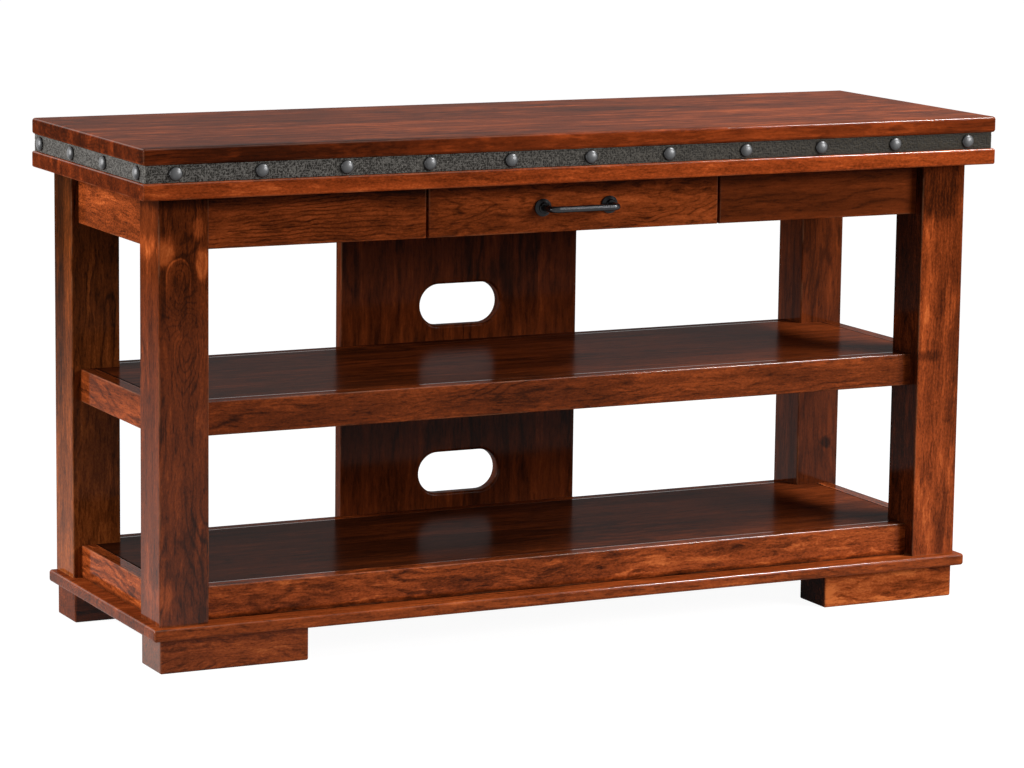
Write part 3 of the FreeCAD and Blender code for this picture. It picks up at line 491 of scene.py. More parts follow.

# %% The boards of the top, the frame and the feet
# Some boards here carry painted shade: under the top, on faces that look left, and along lower edges
BOARDS = {
    "top_slab": (LYING, 3, {
        **CALM, "tone": 0.515, "slope": 0.015, "tint": RED, "glue": 101.5 * MM, "ends": (0.22, 0.0),
        "streak": 0.44, "cloud": 0.58, "smudge": 0.10, "glow": 0.14,
        "coat": (0.02, 0.02), "polish": 0.07, "worn": 0.9,
        "marks": (mark(-520, -203, 330, 15, -0.20), mark(560, -203, 330, 15, -0.06)),
    }),
    "top_core": (LYING, 5, {}),
    "sub_top": (LYING, 8, {
        **CALM, "tone": 0.635, "slope": 0.035, "tint": RED, "ends": (0.24, 0.0),
        "streak": 0.6, "speck": 0.6, "glow": 0.18, "worn": 0.9,
    }),
    "leg_front_left": (UPRIGHT, 11, {
        "tone": 0.46, "slope": -0.12, "eave_shadow": 0.20, "ring": 0.22, "ring_width": 3.6 * MM, "curl": 0.22,
        "fibre": 0.30, "smudge": 0.07, "glow": 0.10, "pith": (-7 * MM, -95 * MM),
        "coat": (0.01, 0.34), "flank": 0.10,
        "eye": (170 * MM, -7 * MM, 22 * MM, 16 * MM),
        "marks": (
            mark(203, -24, 22, 11, 0.40),
            mark(186, 24, 24, 8, 0.40),
            mark(228, 20, 14, 10, 0.26),
            mark(84, 6, 46, 17, bend=-20),
            mark(146, -6, 30, 13, -0.15),
            mark(-205, 9, 75, 25, -0.18),
            mark(-232, -24, 22, 9, 0.18),
        ),
    }),
    "leg_front_right": (UPRIGHT, 17, {
        **BLOTCHED, "tone": 0.56, "slope": -0.22, "tint": ROSE, "inside": 0.28, "coat": (0.01, 0.12),
        "ring": 0.12, "curl": 0.18, "fibre": 0.24, "cloud": 0.6, "smudge": 0.10,
        "pith": (130 * MM, 20 * MM), "sway": 9 * MM, "wobble": 9 * MM,
        "marks": (
            mark(-215, 10, 60, 11, -0.20),
            mark(8, -14, 8, 20, -0.20),
            mark(60, -18, 90, 12, 0.10),
            # Painted shadow under the overhang of the top
            mark(240, -4, 50, 36, -0.22),
        ),
    }),
    "leg_rear_left": (UPRIGHT, 23, {
        "tone": 0.49, "slope": -0.50, "rear": 0.20, "tint": OLIVE, "coat": (0.01, 0.08), "flank": 0.24,
    }),
    "leg_rear_right": (UPRIGHT, 29, {
        **CALM, "tone": 0.335, "coat": (0.01, 0.23), "marks": (mark(-165, 14, 9, 9, -0.30, bend=8),),
    }),
    "apron_front_left": (ON_EDGE, 31, {
        "tone": 0.54, "eave_shadow": 0.28, "cloud": 0.5, "ring": 0.26, "pith": (75 * MM, -20 * MM),
    }),
    "apron_front_right": (ON_EDGE, 37, {**CALM, "tone": 0.43, "eave_shadow": 0.14}),
    "apron_back": (ON_EDGE, 41, {"tone": 0.40}),
    "apron_left": (ENDWAYS, 43, {
        "tone": 0.53, "eave_shadow": 0.16, "ring": 0.08, "speck": 0.85, "glow": 0.18, "curl": 0.3, "cloud": 0.5,
    }),
    "apron_right": (ENDWAYS, 47, {"tone": 0.50, "eave_shadow": 0.16}),
    "drawer_front": (ON_EDGE, 53, {
        "tone": 0.57, "eave_shadow": 0.22, "ring": 0.27, "ring_width": 4.0 * MM, "lean": 0.06, "wobble": 40 * MM,
        "fibre": 0.28,
    }),
    "plinth": (LYING, 59, {
        "tone": 0.67, "ends": (0.18, 0.0), "flank": 0.22, "coat": (0.08, 0.10), "worn": 0.9,
    }),
    # The pale end grain of this foot is partly rubbed and partly painted sheen
    "foot_front_left": (ON_EDGE, 61, {
        **BLOTCHED, "tone": 0.63, "fibre": 0.26, "ends": (0.12, 0.10), "inside": 0.08,
        "coat": (0.10, 0.14), "flank": 0.46,
    }),
    "foot_front_right": (ON_EDGE, 67, {
        **BLOTCHED, "tone": 0.80, "fibre": 0.26, "ends": (0.55, 0.0), "coat": (0.05, 0.05),
    }),
    "foot_rear_left": (ON_EDGE, 71, {"tone": 0.48, "coat": (0.14, 0.20)}),
    "foot_rear_right": (ON_EDGE, 73, {"tone": 0.48, "coat": (0.14, 0.20)}),
    "wire_panel": (UPRIGHT, 79, {
        **CALM, "tone": 0.42, "curl": 0.4, "streak": 0.6, "ring": 0.22, "ring_width": 8 * MM,
        "glue": 118.7 * MM,
    }),
    "top_cleat_left": (ENDWAYS, 83, {}),
    "top_cleat_right": (ENDWAYS, 89, {}),
    "drawer_hanger_left": (ENDWAYS, 97, {}),
    "drawer_hanger_right": (ENDWAYS, 101, {}),
}
print("boards without the shelves:", len(BOARDS))

# %% The boards of the shelves
TONGUE_LENGTH = 8.0 * MM
STRIP_WIDTH = 100 * MM
RAIL_LID = 0.16
END_RAIL_PALER = 0.05
END_RAIL_SEED, PANEL_SEED = 5, 11
RAIL_MARKS = (
    mark(-60, 0, 120, 40, -0.09),
    mark(200, 0, 130, 30, 0.07),
    mark(-190, 30, 110, 45, 0.06, bend=30),
)
MID_FIGURE = {"smudge": 0.08, "glow": 0.12, "sway": 14 * MM, "cloud": 0.24}
# The low rails carry painted shade along their lower edges, where they meet the plinth
LOW_FIGURE = {
    "ring": 0.22, "ring_width": 6.0 * MM, "ring_edge": 1.6, "lean": 0.06, "wobble": 44 * MM, "curl": 0.34,
    "fibre": 0.28, "smudge": 0.22, "glow": 0.24, "speck": 0.6, "corner": 0.30,
}


def shelf_boards(shelf, seed, tone, figure, panel):
    """Four rails round a panel of glued strips."""
    boards = {}
    for number, side in enumerate(("front", "rear")):
        boards["%s_rail_%s" % (shelf, side)] = (ON_EDGE, seed + number, {
            **figure, "tone": tone, "lid": RAIL_LID, "coat": (0.05, 0.09), "worn": 0.9, "marks": RAIL_MARKS,
        })
    for number, side in enumerate(("left", "right")):
        boards["%s_rail_%s" % (shelf, side)] = (ENDWAYS, seed + END_RAIL_SEED + number, {
            **figure, "tone": tone + END_RAIL_PALER, "lid": RAIL_LID, "coat": (0.05, 0.22),
        })
    boards[shelf + "_panel"] = (LYING, seed + PANEL_SEED, {
        **CALM, **panel, "glue": STRIP_WIDTH, "seam": TONGUE_LENGTH, "blur": 0.2, "worn": 0.0,
    })
    return boards


MID_PANEL = {"tone": 0.34, "slope": 0.18, "coat": (0.080, 0.080)}
LOW_PANEL = {"tone": 0.32, "slope": 0.27, "coat": (0.068, 0.068)}
BOARDS.update(shelf_boards("mid_shelf", 103, 0.51, MID_FIGURE, MID_PANEL))
BOARDS.update(shelf_boards("low_shelf", 131, 0.65, LOW_FIGURE, LOW_PANEL))
for piece, (order, seed, changes) in BOARDS.items():
    dress(piece, cherry(piece, order, seed, changes))
print("cherry boards:", len(BOARDS))

# %% [markdown]
# ## The drawer box and its slides
# Inside, the drawer is pale maple with a clear finish, dovetailed at its corners, and it runs on zinc-plated
# slides. Both show only when the drawer is open. Maple needs little more than faint rings, and the plating
# is brushed lengthwise, so its noise is stretched along the slide.

# %% Maple
PALE_MAPLE = (0.66, 0.47, 0.28, 1.0)
BROWN_MAPLE = (0.47, 0.29, 0.14, 1.0)


def maple(piece, order, seed):
    finish = Finish("maple_" + piece)
    xyz = finish.split(finish.node("ShaderNodeTexCoord", out="Object"))
    along, across, deep = (xyz["xyz".index(axis)] for axis in order)
    bow = finish.noise(finish.vector(along * 2.0 + seed, across * 18.0, deep * 18.0), 3.0)
    fibre = finish.noise(finish.vector(along * 25.0, across * 700.0 + seed, deep * 700.0), 1.0)
    rings = ((bow * 60.0).math("SINE") * 0.5 + 0.5) ** 2.0
    share = rings * 0.35 + (fibre - 0.5) * 0.3 + bow * 0.5
    colour = finish.mix(share, PALE_MAPLE, BROWN_MAPLE)
    return finish.surface(Base_Color=colour, Roughness=fibre * 0.15 + 0.38, Specular_IOR_Level=0.3)


MAPLE = {
    "drawer_side_left": ENDWAYS,
    "drawer_side_right": ENDWAYS,
    "drawer_box_front": ON_EDGE,
    "drawer_box_back": ON_EDGE,
    "drawer_bottom": LYING,
}
for seed, (piece, order) in enumerate(MAPLE.items()):
    dress(piece, maple(piece, order, seed * 1.7))
print("maple pieces:", len(MAPLE))

# %% Zinc-plated steel
DULL_ZINC = (0.42, 0.43, 0.45, 1.0)
BRIGHT_ZINC = (0.62, 0.63, 0.65, 1.0)


def plated_steel():
    finish = Finish("zinc_plate")
    x, y, z = finish.split(finish.node("ShaderNodeTexCoord", out="Object"))
    brushed = finish.noise(finish.vector(x * 900.0, y * 12.0, z * 900.0), 2.0)
    bloom = finish.noise(finish.vector(x * 60.0, y * 20.0, z * 60.0), 3.0)
    colour = finish.mix(bloom, DULL_ZINC, BRIGHT_ZINC)
    return finish.surface(Base_Color=colour, Metallic=1.0, Roughness=brushed * 0.25 + 0.25)


zinc = plated_steel()
slides = [piece for piece in nodes if piece.startswith("slide_")]
for piece in slides:
    dress(piece, zinc)
print("slide members:", len(slides))

# %% [markdown]
# ## The hammered band
# The band is one strip of iron bent round the front corners, pebbled all over by the hammer. A bump map
# would leave the strip's outline flat, so the strip is modelled as a fine grid that follows its path, and
# every point of the outer face is pushed in by a few tenths of a millimetre. The height is kept as an
# attribute, so that the finish can rub the high spots bright and leave the hollows black.

# %% The path of the band, seen from above
band_low, band_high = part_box("iron_band")
BAND_THICKNESS = 3.0 * MM
BAND_BEND = 5.0 * MM
GRID_STEP = 0.8 * MM


def band_path():
    """Points along the outer face with their outward directions, evenly spaced."""
    right = band_high.x
    front, rear = band_low.y, band_high.y
    points = []
    directions = []

    def run(start, end, outward):
        count = max(2, round((Vector(end) - Vector(start)).length / GRID_STEP))
        for number in range(count):
            points.append(Vector(start).lerp(Vector(end), number / count))
            directions.append(Vector(outward))

    def bend(centre, first, last):
        count = round(BAND_BEND * abs(last - first) / GRID_STEP)
        for number in range(count):
            angle = first + (last - first) * number / count
            outward = Vector((math.cos(angle), math.sin(angle)))
            points.append(Vector(centre) + outward * BAND_BEND)
            directions.append(outward)

    run((-right, rear), (-right, front + BAND_BEND), (-1, 0))
    bend((-right + BAND_BEND, front + BAND_BEND), math.pi, 1.5 * math.pi)
    run((-right + BAND_BEND, front), (right - BAND_BEND, front), (0, -1))
    bend((right - BAND_BEND, front + BAND_BEND), 1.5 * math.pi, 2 * math.pi)
    run((right, front + BAND_BEND), (right, rear), (1, 0))
    points.append(Vector((right, rear)))
    directions.append(Vector((1, 0)))
    return points, directions


path_points, path_directions = band_path()
print("band path:", len(path_points), "stations")

# %% The hammered strip
HAMMER_DEPTH = 0.9 * MM
DENT_SIZE = 2.9 * MM
PEBBLE_SIZE = 1.6 * MM
RIDGE_SHARPNESS = 2.2
RIDGE_SHARE = 0.55


def hammer_height(x, y, z):
    """From 0 in a hollow to 1 on a high spot."""
    place = Vector((x, y, z))
    ridge = 1.0 - abs(noise.noise(place / DENT_SIZE)) * RIDGE_SHARPNESS
    pebble = noise.noise(place / PEBBLE_SIZE) * 0.5 + 0.5
    return min(1.0, max(0.0, RIDGE_SHARE * ridge + (1.0 - RIDGE_SHARE) * pebble))


def hammered_band():
    rows = round((band_high.z - band_low.z) / GRID_STEP)
    levels = [band_low.z + (band_high.z - band_low.z) * row / rows for row in range(rows + 1)]
    mesh = bpy.data.meshes.new("iron_band_hammered")
    build = bmesh.new()
    layer = build.verts.layers.float.new("height")
    outer = []
    inner = []
    for point, outward in zip(path_points, path_directions):
        column = []
        for level in levels:
            height = hammer_height(point.x, point.y, level)
            place = point - outward * (HAMMER_DEPTH * (1.0 - height))
            vertex = build.verts.new((place.x, place.y, level))
            vertex[layer] = height
            column.append(vertex)
        outer.append(column)
        back = point - outward * BAND_THICKNESS
        inner.append([build.verts.new((back.x, back.y, level)) for level in (levels[0], levels[-1])])
    for number in range(len(outer) - 1):
        here, there = outer[number], outer[number + 1]
        for row in range(rows):
            build.faces.new((here[row], there[row], there[row + 1], here[row + 1]))
        build.faces.new((here[0], inner[number][0], inner[number + 1][0], there[0]))
        build.faces.new((here[-1], there[-1], inner[number + 1][1], inner[number][1]))
        build.faces.new((inner[number][0], inner[number][1], inner[number + 1][1], inner[number + 1][0]))
    for number in (0, -1):
        build.faces.new((*outer[number], inner[number][1], inner[number][0]))
    bmesh.ops.recalc_face_normals(build, faces=build.faces)
    for face in build.faces:
        face.smooth = len(face.verts) == 4 and abs(face.normal.z) < 0.7
    build.to_mesh(mesh)
    build.free()
    return mesh


def new_piece(name, mesh, material, body, slot, *replaced):
    """Links a finished mesh to the body it moves with, and hides the nodes of the frame that it replaces."""
    piece = bpy.data.objects.new(name, mesh)
    bpy.context.scene.collection.objects.link(piece)
    mesh.materials.clear()
    mesh.materials.append(material)
    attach(piece, body)
    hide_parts(*replaced)


band_mesh = hammered_band()
print("band:", len(band_mesh.polygons), "faces")

# %% Dark iron, rubbed bright on the high spots
DEEP_PATINA = (0.015, 0.0133, 0.0115, 1.0)
THIN_PATINA = (0.034, 0.031, 0.027, 1.0)
BRIGHT_IRON = (0.134, 0.126, 0.114, 1.0)
BROWN_IRON = (0.026, 0.020, 0.012, 1.0)
# From the left end to the right, the rubbed spots turn from bright to brown; the bright left end is partly a
# painted highlight
BRIGHT_TO_BROWN = (-0.6, 0.6)


def hammered_iron():
    finish = Finish("hammered_iron")
    height = finish.node("ShaderNodeAttribute", {"attribute_name": "height"}, out="Fac")
    x, y, z = finish.split(finish.node("ShaderNodeTexCoord", out="Object"))
    patina = finish.noise(finish.vector(x * 55.0, y * 55.0, z * 90.0), 4.0, 0.6)
    speck = finish.noise(finish.vector(x * 1400.0, y * 1400.0, z * 1400.0), 2.0)
    shine = finish.step(height + (speck - 0.5) * 0.25, 0.32, 0.95)
    dark = finish.mix(patina, DEEP_PATINA, THIN_PATINA)
    # Rubbed spots, brighter at the left end, partly as a painted highlight
    worn = finish.mix(finish.step(x, *BRIGHT_TO_BROWN), BRIGHT_IRON, BROWN_IRON)
    colour = finish.mix(shine, dark, worn)
    pits = finish.node("ShaderNodeBump", (), {"Strength": 0.35, "Distance": 0.3 * MM, "Height": speck})
    return finish.surface(
        Base_Color=colour, Metallic=0.35, Roughness=0.60 - shine * 0.2, Specular_IOR_Level=0.08, Normal=pits)


iron = hammered_iron()
new_piece("iron_band_hammered", band_mesh, iron, "cabinet", "hammered_iron", "iron_band")
print("band dressed:", iron.name)

# %% [markdown]
# ## The clavos
# A clavo is a nail with a large forged head. Nineteen of them hold the band, so they are one Geometry Nodes
# tree: it takes one point for each nail, turns a domed head to face outwards, and gives each a turn of its
# own and a slightly uneven skin. The result is made a plain mesh, because instances don't survive an export.


# %% A helper for Geometry Nodes trees
class Tree:
    """A Geometry Nodes tree whose inputs have names and sizes."""

    def __init__(self, name, inputs):
        self.group = bpy.data.node_groups.new(name, "GeometryNodeTree")
        face = self.group.interface
        face.new_socket("Geometry", in_out="INPUT", socket_type="NodeSocketGeometry")
        face.new_socket("Geometry", in_out="OUTPUT", socket_type="NodeSocketGeometry")
        self.values = {}
        for label, (kind, value) in inputs.items():
            socket = face.new_socket(label, in_out="INPUT", socket_type="NodeSocket" + kind)
            self.values[socket.identifier] = value
        self.source = self.group.nodes.new("NodeGroupInput")
        self.target = self.group.nodes.new("NodeGroupOutput")

    def node(self, kind, settings=(), values=()):
        made = self.group.nodes.new(kind)
        for key, value in dict(settings).items():
            setattr(made, key, value)
        for key, value in dict(values).items():
            if isinstance(value, bpy.types.NodeSocket):
                self.group.links.new(value, made.inputs[key])
            else:
                made.inputs[key].default_value = value
        return made.outputs

    def given(self, label):
        return self.source.outputs[label]

    def maths(self, operation, first, second):
        return self.node("ShaderNodeMath", {"operation": operation}, {0: first, 1: second})[0]

    def facing_outwards(self):
        """The rotation that turns +Z towards each point's own facing."""
        facing = self.node(
            "GeometryNodeInputNamedAttribute", {"data_type": "FLOAT_VECTOR"}, {"Name": "facing"})[0]
        return self.node("FunctionNodeAlignRotationToVector", {"axis": "Z"}, {"Vector": facing})[0]

    def finish(self, geometry, material):
        real = self.node("GeometryNodeRealizeInstances", (), {"Geometry": geometry})
        named = self.node("GeometryNodeSetMaterial", (), {"Geometry": real[0], "Material": material})
        self.group.links.new(named[0], self.target.inputs[0])

    def mesh(self, name, places, facings):
        """Runs the tree on one point for each place, and returns a plain mesh."""
        points = bpy.data.meshes.new(name)
        points.from_pydata(places, [], [])
        attribute = points.attributes.new("facing", "FLOAT_VECTOR", "POINT")
        attribute.data.foreach_set("vector", [number for facing in facings for number in facing])
        carrier = bpy.data.objects.new(name + "_points", points)
        bpy.context.scene.collection.objects.link(carrier)
        modifier = carrier.modifiers.new("tree", "NODES")
        modifier.node_group = self.group
        for identifier, value in self.values.items():
            modifier[identifier] = value
        shown = carrier.evaluated_get(bpy.context.evaluated_depsgraph_get())
        mesh = bpy.data.meshes.new_from_object(shown)
        mesh.name = name
        bpy.data.objects.remove(carrier)
        return mesh


print("tree helper ready")

# %% The nail heads
FORGED_WAVES = 260.0


def clavo_tree(material, radius, rise):
    tree = Tree("clavo_row", {
        "Head Radius": ("Float", radius),
        "Head Rise": ("Float", rise),
        "Fullness": ("Float", 0.92),
        "Unevenness": ("Float", 0.14 * MM),
        "Seed": ("Int", 7),
    })
    ball = tree.node("GeometryNodeMeshUVSphere", (), {"Segments": 40, "Rings": 26, "Radius": 1.0})
    place = tree.node("GeometryNodeInputPosition")[0]
    parts = tree.node("ShaderNodeSeparateXYZ", (), {"Vector": place})
    above = tree.maths("MAXIMUM", parts["Z"], 0.0)
    lifted = tree.maths("POWER", above, tree.given("Fullness"))
    wide = [tree.maths("MULTIPLY", parts[axis], tree.given("Head Radius")) for axis in "XY"]
    tall = tree.maths("MULTIPLY", lifted, tree.given("Head Rise"))
    dome = tree.node("ShaderNodeCombineXYZ", (), {"X": wide[0], "Y": wide[1], "Z": tall})[0]
    marked = tree.node("GeometryNodeStoreNamedAttribute", {"data_type": "FLOAT", "domain": "POINT"},
                       {"Geometry": ball[0], "Name": "crown", "Value": above})[0]
    head = tree.node("GeometryNodeSetPosition", (), {"Geometry": marked, "Position": dome})[0]

    spin = tree.node("FunctionNodeRandomValue", {"data_type": "FLOAT"},
                     {"Min": 0.0, "Max": 2 * math.pi, "Seed": tree.given("Seed")})["Value"]
    turn = tree.node("FunctionNodeAxisAngleToRotation", (), {"Axis": (0, 0, 1), "Angle": spin})[0]
    rotation = tree.node("FunctionNodeRotateRotation", {"rotation_space": "LOCAL"},
                         {"Rotation": tree.facing_outwards(), "Rotate By": turn})[0]
    row = tree.node("GeometryNodeInstanceOnPoints", (),
                    {"Points": tree.given("Geometry"), "Instance": head, "Rotation": rotation})[0]
    real = tree.node("GeometryNodeRealizeInstances", (), {"Geometry": row})[0]
    forged = tree.node("ShaderNodeTexNoise", (), {"Scale": FORGED_WAVES, "Detail": 1.0})
    centred = tree.node("ShaderNodeVectorMath", {"operation": "SUBTRACT"},
                        {0: forged["Color"], 1: (0.5, 0.5, 0.5)})[0]
    dent = tree.node("ShaderNodeVectorMath", {"operation": "SCALE"},
                     {0: centred, "Scale": tree.given("Unevenness")})[0]
    dented = tree.node("GeometryNodeSetPosition", (), {"Geometry": real, "Offset": dent})[0]
    smooth = tree.node("GeometryNodeSetShadeSmooth", (), {"Geometry": dented})[0]
    tree.finish(smooth, material)
    return tree


print("nail tree ready")

# %% Dark pewter, rubbed on the crowns, with a painted highlight on the upper side
DARK_PEWTER = (0.007, 0.007, 0.0075, 1.0)
# The bright colour: rubbed crowns, and a painted highlight on the upper side
PEWTER_RUB_AND_HIGHLIGHT = (0.085, 0.085, 0.087, 1.0)


def pewter_iron():
    finish = Finish("clavo_iron")
    x, y, z = finish.split(finish.node("ShaderNodeTexCoord", out="Object"))
    cloud = finish.noise(finish.vector(x * 160.0, y * 160.0, z * 160.0), 4.0, 0.6)
    fine = finish.noise(finish.vector(x * 1100.0, y * 1100.0, z * 1100.0), 2.0)
    crown = finish.node("ShaderNodeAttribute", {"attribute_name": "crown"}, out="Fac")
    facing = finish.split(finish.node("ShaderNodeTexCoord", out="Normal"))
    # Crowns rubbed bright, and a painted highlight on the faces that look up
    bright_share = finish.step(crown + facing[2] * 0.40 + (cloud - 0.5) * 0.4, 0.40, 1.10)
    colour = finish.mix(bright_share, DARK_PEWTER, PEWTER_RUB_AND_HIGHLIGHT)
    skin = finish.node("ShaderNodeBump", (), {"Strength": 0.08, "Distance": 0.2 * MM, "Height": fine})
    return finish.surface(
        Base_Color=colour, Metallic=0.3, Roughness=cloud * 0.10 + 0.30, Specular_IOR_Level=0.7, Normal=skin)


pewter = pewter_iron()
print("nails dressed:", pewter.name)

# %% The rows of nails
FRONT_CLAVO_COUNT = 11
END_CLAVO_COUNT = 4
CLAVO_DIAMETER = 18.0 * MM
# A little under the solid's own rise, so that the uneven skin stays inside it
CLAVO_RISE = 5.2 * MM


def along_row(low, high, count):
    """The middles of the heads, evenly spaced between the ends of a row."""
    first = low + CLAVO_DIAMETER / 2
    run = high - low - CLAVO_DIAMETER
    return [first + run * (number / (count - 1)) for number in range(count)]


def clavo_places():
    low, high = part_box("clavos_front")
    middle = (low.z + high.z) / 2
    places = [(x, band_low.y, middle) for x in along_row(low.x, high.x, FRONT_CLAVO_COUNT)]
    facings = [(0, -1, 0)] * FRONT_CLAVO_COUNT
    low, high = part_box("clavos_left")
    for side, x in ((-1, band_low.x), (1, band_high.x)):
        places += [(x, y, middle) for y in along_row(low.y, high.y, END_CLAVO_COUNT)]
        facings += [(side, 0, 0)] * END_CLAVO_COUNT
    return places, facings


places, facings = clavo_places()
clavo_mesh = clavo_tree(pewter, CLAVO_DIAMETER / 2, CLAVO_RISE).mesh("clavo_heads", places, facings)
new_piece(
    "clavo_heads", clavo_mesh, pewter, "cabinet", "clavo_iron", "clavos_front", "clavos_left", "clavos_right")
print("clavos:", len(places), "heads,", len(clavo_mesh.polygons), "faces")

# %% [markdown]
# ## The screws
# Six wood screws hold the upright panel from behind, and four more inside the drawer hold its front and its
# pull. They share one tree as well: a flat countersunk head with a cross recess cut into it.

# %% Countersunk heads with a cross recess
SHANK_SHARE = 0.5
RECESS_SPAN = 1.25


def screw_tree(material, radius, depth):
    tree = Tree("countersunk_screw", {
        "Head Radius": ("Float", radius),
        "Head Depth": ("Float", depth),
        "Recess Width": ("Float", 1.3 * MM),
        "Recess Depth": ("Float", 1.4 * MM),
    })
    width = tree.given("Recess Width")
    shank = tree.maths("MULTIPLY", tree.given("Head Radius"), SHANK_SHARE)
    span = tree.maths("MULTIPLY", tree.given("Head Radius"), RECESS_SPAN)
    deep = tree.maths("MULTIPLY", tree.given("Recess Depth"), 2.0)
    lift = tree.node("ShaderNodeCombineXYZ", (), {"X": 0.0, "Y": 0.0, "Z": tree.given("Head Depth")})[0]
    head = tree.node("GeometryNodeMeshCone", {"fill_type": "NGON"},
                     {"Vertices": 40, "Radius Top": tree.given("Head Radius"), "Radius Bottom": shank,
                      "Depth": tree.given("Head Depth")})[0]
    for long_side, short_side in ((span, width), (width, span)):
        size = tree.node("ShaderNodeCombineXYZ", (), {"X": long_side, "Y": short_side, "Z": deep})[0]
        slot = tree.node("GeometryNodeMeshCube", (), {"Size": size})[0]
        cutter = tree.node("GeometryNodeTransform", (), {"Geometry": slot, "Translation": lift})[0]
        head = tree.node("GeometryNodeMeshBoolean", {"operation": "DIFFERENCE"},
                         {"Mesh 1": head, "Mesh 2": cutter})[0]
    aligned = tree.facing_outwards()
    row = tree.node("GeometryNodeInstanceOnPoints", (),
                    {"Points": tree.given("Geometry"), "Instance": head, "Rotation": aligned})[0]
    tree.finish(row, material)
    return tree


OXIDE_BLACK = (0.020, 0.019, 0.018, 1.0)
OXIDE_BROWN = (0.070, 0.066, 0.060, 1.0)


def black_oxide():
    finish = Finish("black_oxide")
    x, y, z = finish.split(finish.node("ShaderNodeTexCoord", out="Object"))
    cloud = finish.noise(finish.vector(x * 300.0, y * 300.0, z * 300.0), 3.0)
    colour = finish.mix(cloud, OXIDE_BLACK, OXIDE_BROWN)
    return finish.surface(Base_Color=colour, Metallic=0.8, Roughness=cloud * 0.2 + 0.35)


SCREW_HEAD = 8.0 * MM
HEAD_DEPTH = 2.4 * MM
oxide = black_oxide()
screws = screw_tree(oxide, SCREW_HEAD / 2, HEAD_DEPTH)
print("screw tree ready")


# %% The rows of screws
def screw_row(name, columns, levels, face, body, *replaced):
    """Screw heads flush with a face that looks along +Y."""
    places = [(x, face - HEAD_DEPTH, z) for x in columns for z in levels]
    mesh = screws.mesh(name, places, [(0, 1, 0)] * len(places))
    new_piece(name, mesh, oxide, body, "screw_steel", *replaced)
    print(name, len(places), "screws")


def between_heads(node):
    """The outermost screw places of a group, in x and z."""
    low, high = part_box(node)
    inset = SCREW_HEAD / 2
    return (low.x + inset, high.x - inset), (low.z + inset, high.z - inset)


panel_columns, panel_levels = between_heads("wire_panel_screws")
shelf_low, shelf_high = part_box("mid_shelf_rail_rear")
panel_levels = (*panel_levels, (shelf_low.z + shelf_high.z) / 2)
panel_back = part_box("wire_panel")[1].y
screw_row("panel_screw_heads", panel_columns, panel_levels, panel_back, "cabinet", "wire_panel_screws")
box_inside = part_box("drawer_box_front")[1].y
for group in ("drawer_front_screws", "pull_screws"):
    columns, levels = between_heads(group)
    screw_row(group[:-1] + "_heads", columns, levels[:1], box_inside, "drawer", group)

# %% [markdown]
# ## The pull
# The pull is a round rod bent at two elbows, on two stepped rosettes, in satin black over bronze. The solids
# of the frame have the right shape, so they stay and only get their finish: darker in the rosettes, with a
# little bronze where hands rub.

# %% Satin bronze
PULL_BLACK = (0.030, 0.030, 0.032)
PULL_BRONZE = (0.085, 0.070, 0.058)


def satin_bronze(name, depth):
    """depth scales the colours: 1 keeps the rod's own tone."""
    finish = Finish(name)
    x, y, z = finish.split(finish.node("ShaderNodeTexCoord", out="Object"))
    cloud = finish.noise(finish.vector(x * 120.0, y * 120.0, z * 120.0), 4.0, 0.6)
    bright_share = finish.step(cloud, 0.55, 0.75) * 0.4
    black, bronze = ((*(part * depth for part in colour), 1.0) for colour in (PULL_BLACK, PULL_BRONZE))
    return finish.surface(
        Base_Color=finish.mix(bright_share, black, bronze), Metallic=0.8, Roughness=cloud * 0.04 + 0.23,
        Specular_IOR_Level=0.5)


for piece, depth in (("pull_bar", 1.0), ("pull_rosettes", 0.35)):
    dress(piece, satin_bronze("bronze_" + piece, depth))
    for face in nodes[piece].data.polygons:
        face.use_smooth = True
print("pull dressed")

# %% [markdown]
# ## Floor, light and camera
# The floor is pale, and rays from the camera or a shiny surface see it and the surroundings as white, so the
# background stays clean without more light on the wood. Two soft boxes and a dim sky light the console, and a
# small bright box above the right end draws the thin highlights along the front edges.


# %% White surroundings
def seen_directly(tree):
    """1 for rays from the camera, a mirror or glass, and 0 for rays that carry light to a matt surface."""
    path = tree.nodes.new("ShaderNodeLightPath")
    total = path.outputs["Is Camera Ray"]
    for name in ("Is Glossy Ray", "Is Transmission Ray"):
        larger = tree.nodes.new("ShaderNodeMath")
        larger.operation = "MAXIMUM"
        tree.links.new(total, larger.inputs[0])
        tree.links.new(path.outputs[name], larger.inputs[1])
        total = larger.outputs[0]
    return total


SKY_LIGHT = 0.16


def white_world():
    world = bpy.data.worlds.new("studio")
    bpy.context.scene.world = world
    world.use_nodes = True
    tree = world.node_tree
    dim = tree.nodes["Background"]
    dim.inputs["Color"].default_value = WHITE
    dim.inputs["Strength"].default_value = SKY_LIGHT
    white = tree.nodes.new("ShaderNodeBackground")
    white.inputs["Color"].default_value = WHITE
    mix = tree.nodes.new("ShaderNodeMixShader")
    tree.links.new(seen_directly(tree), mix.inputs[0])
    tree.links.new(dim.outputs[0], mix.inputs[1])
    tree.links.new(white.outputs[0], mix.inputs[2])
    tree.links.new(mix.outputs[0], tree.nodes["World Output"].inputs["Surface"])


white_world()
print("sky ready")

# %% A pale floor that looks white
FLOOR_HALF = 30.0
FLOOR_GREY = (0.36, 0.355, 0.35, 1.0)
SHADOW_GREY = (0.16, 0.16, 0.16, 1.0)


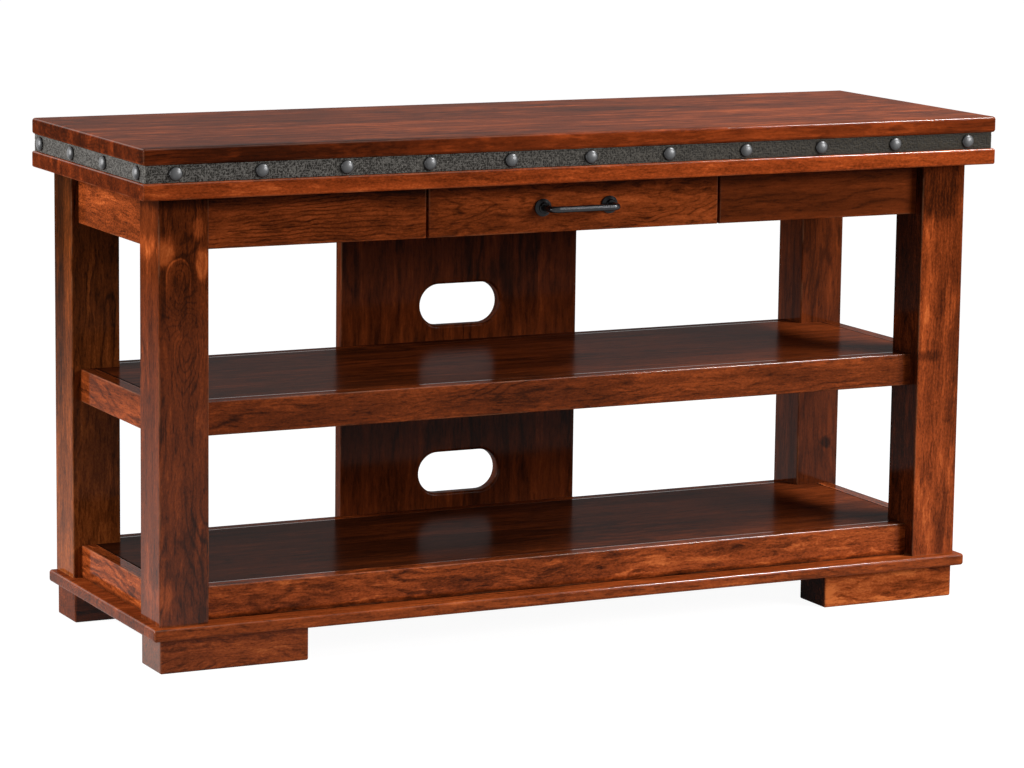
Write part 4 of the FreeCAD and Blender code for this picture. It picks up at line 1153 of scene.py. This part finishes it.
def brighter_away(tree):
    """The floor's own white, a little less under the console, where the lamps add to it."""
    place = tree.nodes.new("ShaderNodeTexCoord")
    distance = tree.nodes.new("ShaderNodeVectorMath")
    distance.operation = "LENGTH"
    tree.links.new(place.outputs["Object"], distance.inputs[0])
    fade = tree.nodes.new("ShaderNodeMapRange")
    fade.interpolation_type = "SMOOTHSTEP"
    for name, value in (("From Min", 0.9), ("From Max", 3.5), ("To Min", 0.95), ("To Max", 0.99)):
        fade.inputs[name].default_value = value
    tree.links.new(distance.outputs["Value"], fade.inputs["Value"])
    return fade.outputs[0]


def pale_floor():
    mesh = bpy.data.meshes.new("floor")
    corners = [(x * FLOOR_HALF, y * FLOOR_HALF, 0.0) for x, y in ((-1, -1), (1, -1), (1, 1), (-1, 1))]
    mesh.from_pydata(corners, [], [(0, 1, 2, 3)])
    floor = bpy.data.objects.new("floor", mesh)
    bpy.context.scene.collection.objects.link(floor)
    material = bpy.data.materials.new("pale_floor")
    material.use_nodes = True
    tree = material.node_tree
    tree.nodes.remove(tree.nodes["Principled BSDF"])
    matt = tree.nodes.new("ShaderNodeBsdfDiffuse")
    matt.inputs["Color"].default_value = FLOOR_GREY
    glow = tree.nodes.new("ShaderNodeEmission")
    tree.links.new(brighter_away(tree), glow.inputs["Strength"])
    shadow = tree.nodes.new("ShaderNodeBsdfDiffuse")
    shadow.inputs["Color"].default_value = SHADOW_GREY
    both = tree.nodes.new("ShaderNodeAddShader")
    tree.links.new(glow.outputs[0], both.inputs[0])
    tree.links.new(shadow.outputs[0], both.inputs[1])
    mix = tree.nodes.new("ShaderNodeMixShader")
    tree.links.new(seen_directly(tree), mix.inputs[0])
    tree.links.new(matt.outputs[0], mix.inputs[1])
    tree.links.new(both.outputs[0], mix.inputs[2])
    tree.links.new(mix.outputs[0], tree.nodes["Material Output"].inputs["Surface"])
    mesh.materials.append(material)


pale_floor()
print("floor ready")


# %% Soft boxes
def soft_box(name, place, aim, size, watts):
    light = bpy.data.lights.new(name, "AREA")
    light.shape = "RECTANGLE"
    light.size, light.size_y = size
    light.energy = watts
    lamp = bpy.data.objects.new(name, light)
    lamp.location = place
    lamp.rotation_euler = (Vector(aim) - Vector(place)).to_track_quat("-Z", "Y").to_euler()
    bpy.context.scene.collection.objects.link(lamp)


soft_box("left_key", (-2.7, 0.4, 1.0), (-0.4, 0.0, 0.35), (2.0, 1.6), 84.0)
soft_box("right_fill", (2.2, -2.6, 1.5), (0.3, -0.1, 0.4), (1.4, 1.2), 85.0)
soft_box("edge_light", (1.55, -0.9, 2.3), (0.4, -0.2, 0.4), (0.75, 0.24), 58.0)

# %% The camera
CAMERA_PLACE = (-2.2762, -4.5943, 1.1644)
CAMERA_LENS = 137.04
CAMERA_YAW, CAMERA_PITCH, CAMERA_ROLL = (math.radians(angle) for angle in (-26.255, -9.538, 0.719))


def aim_camera():
    data = bpy.data.cameras.new("camera")
    data.lens = CAMERA_LENS
    data.sensor_width = 36.0
    camera = bpy.data.objects.new("camera", data)
    bpy.context.scene.collection.objects.link(camera)
    level = Matrix.Rotation(CAMERA_YAW, 3, "Z") @ Matrix.Rotation(math.pi / 2 + CAMERA_PITCH, 3, "X")
    turned = level @ Matrix.Rotation(CAMERA_ROLL, 3, "Z")
    camera.matrix_world = Matrix.Translation(CAMERA_PLACE) @ turned.to_4x4()
    bpy.context.scene.camera = camera


aim_camera()
bpy.context.scene.view_settings.view_transform = "Standard"
print("camera set")
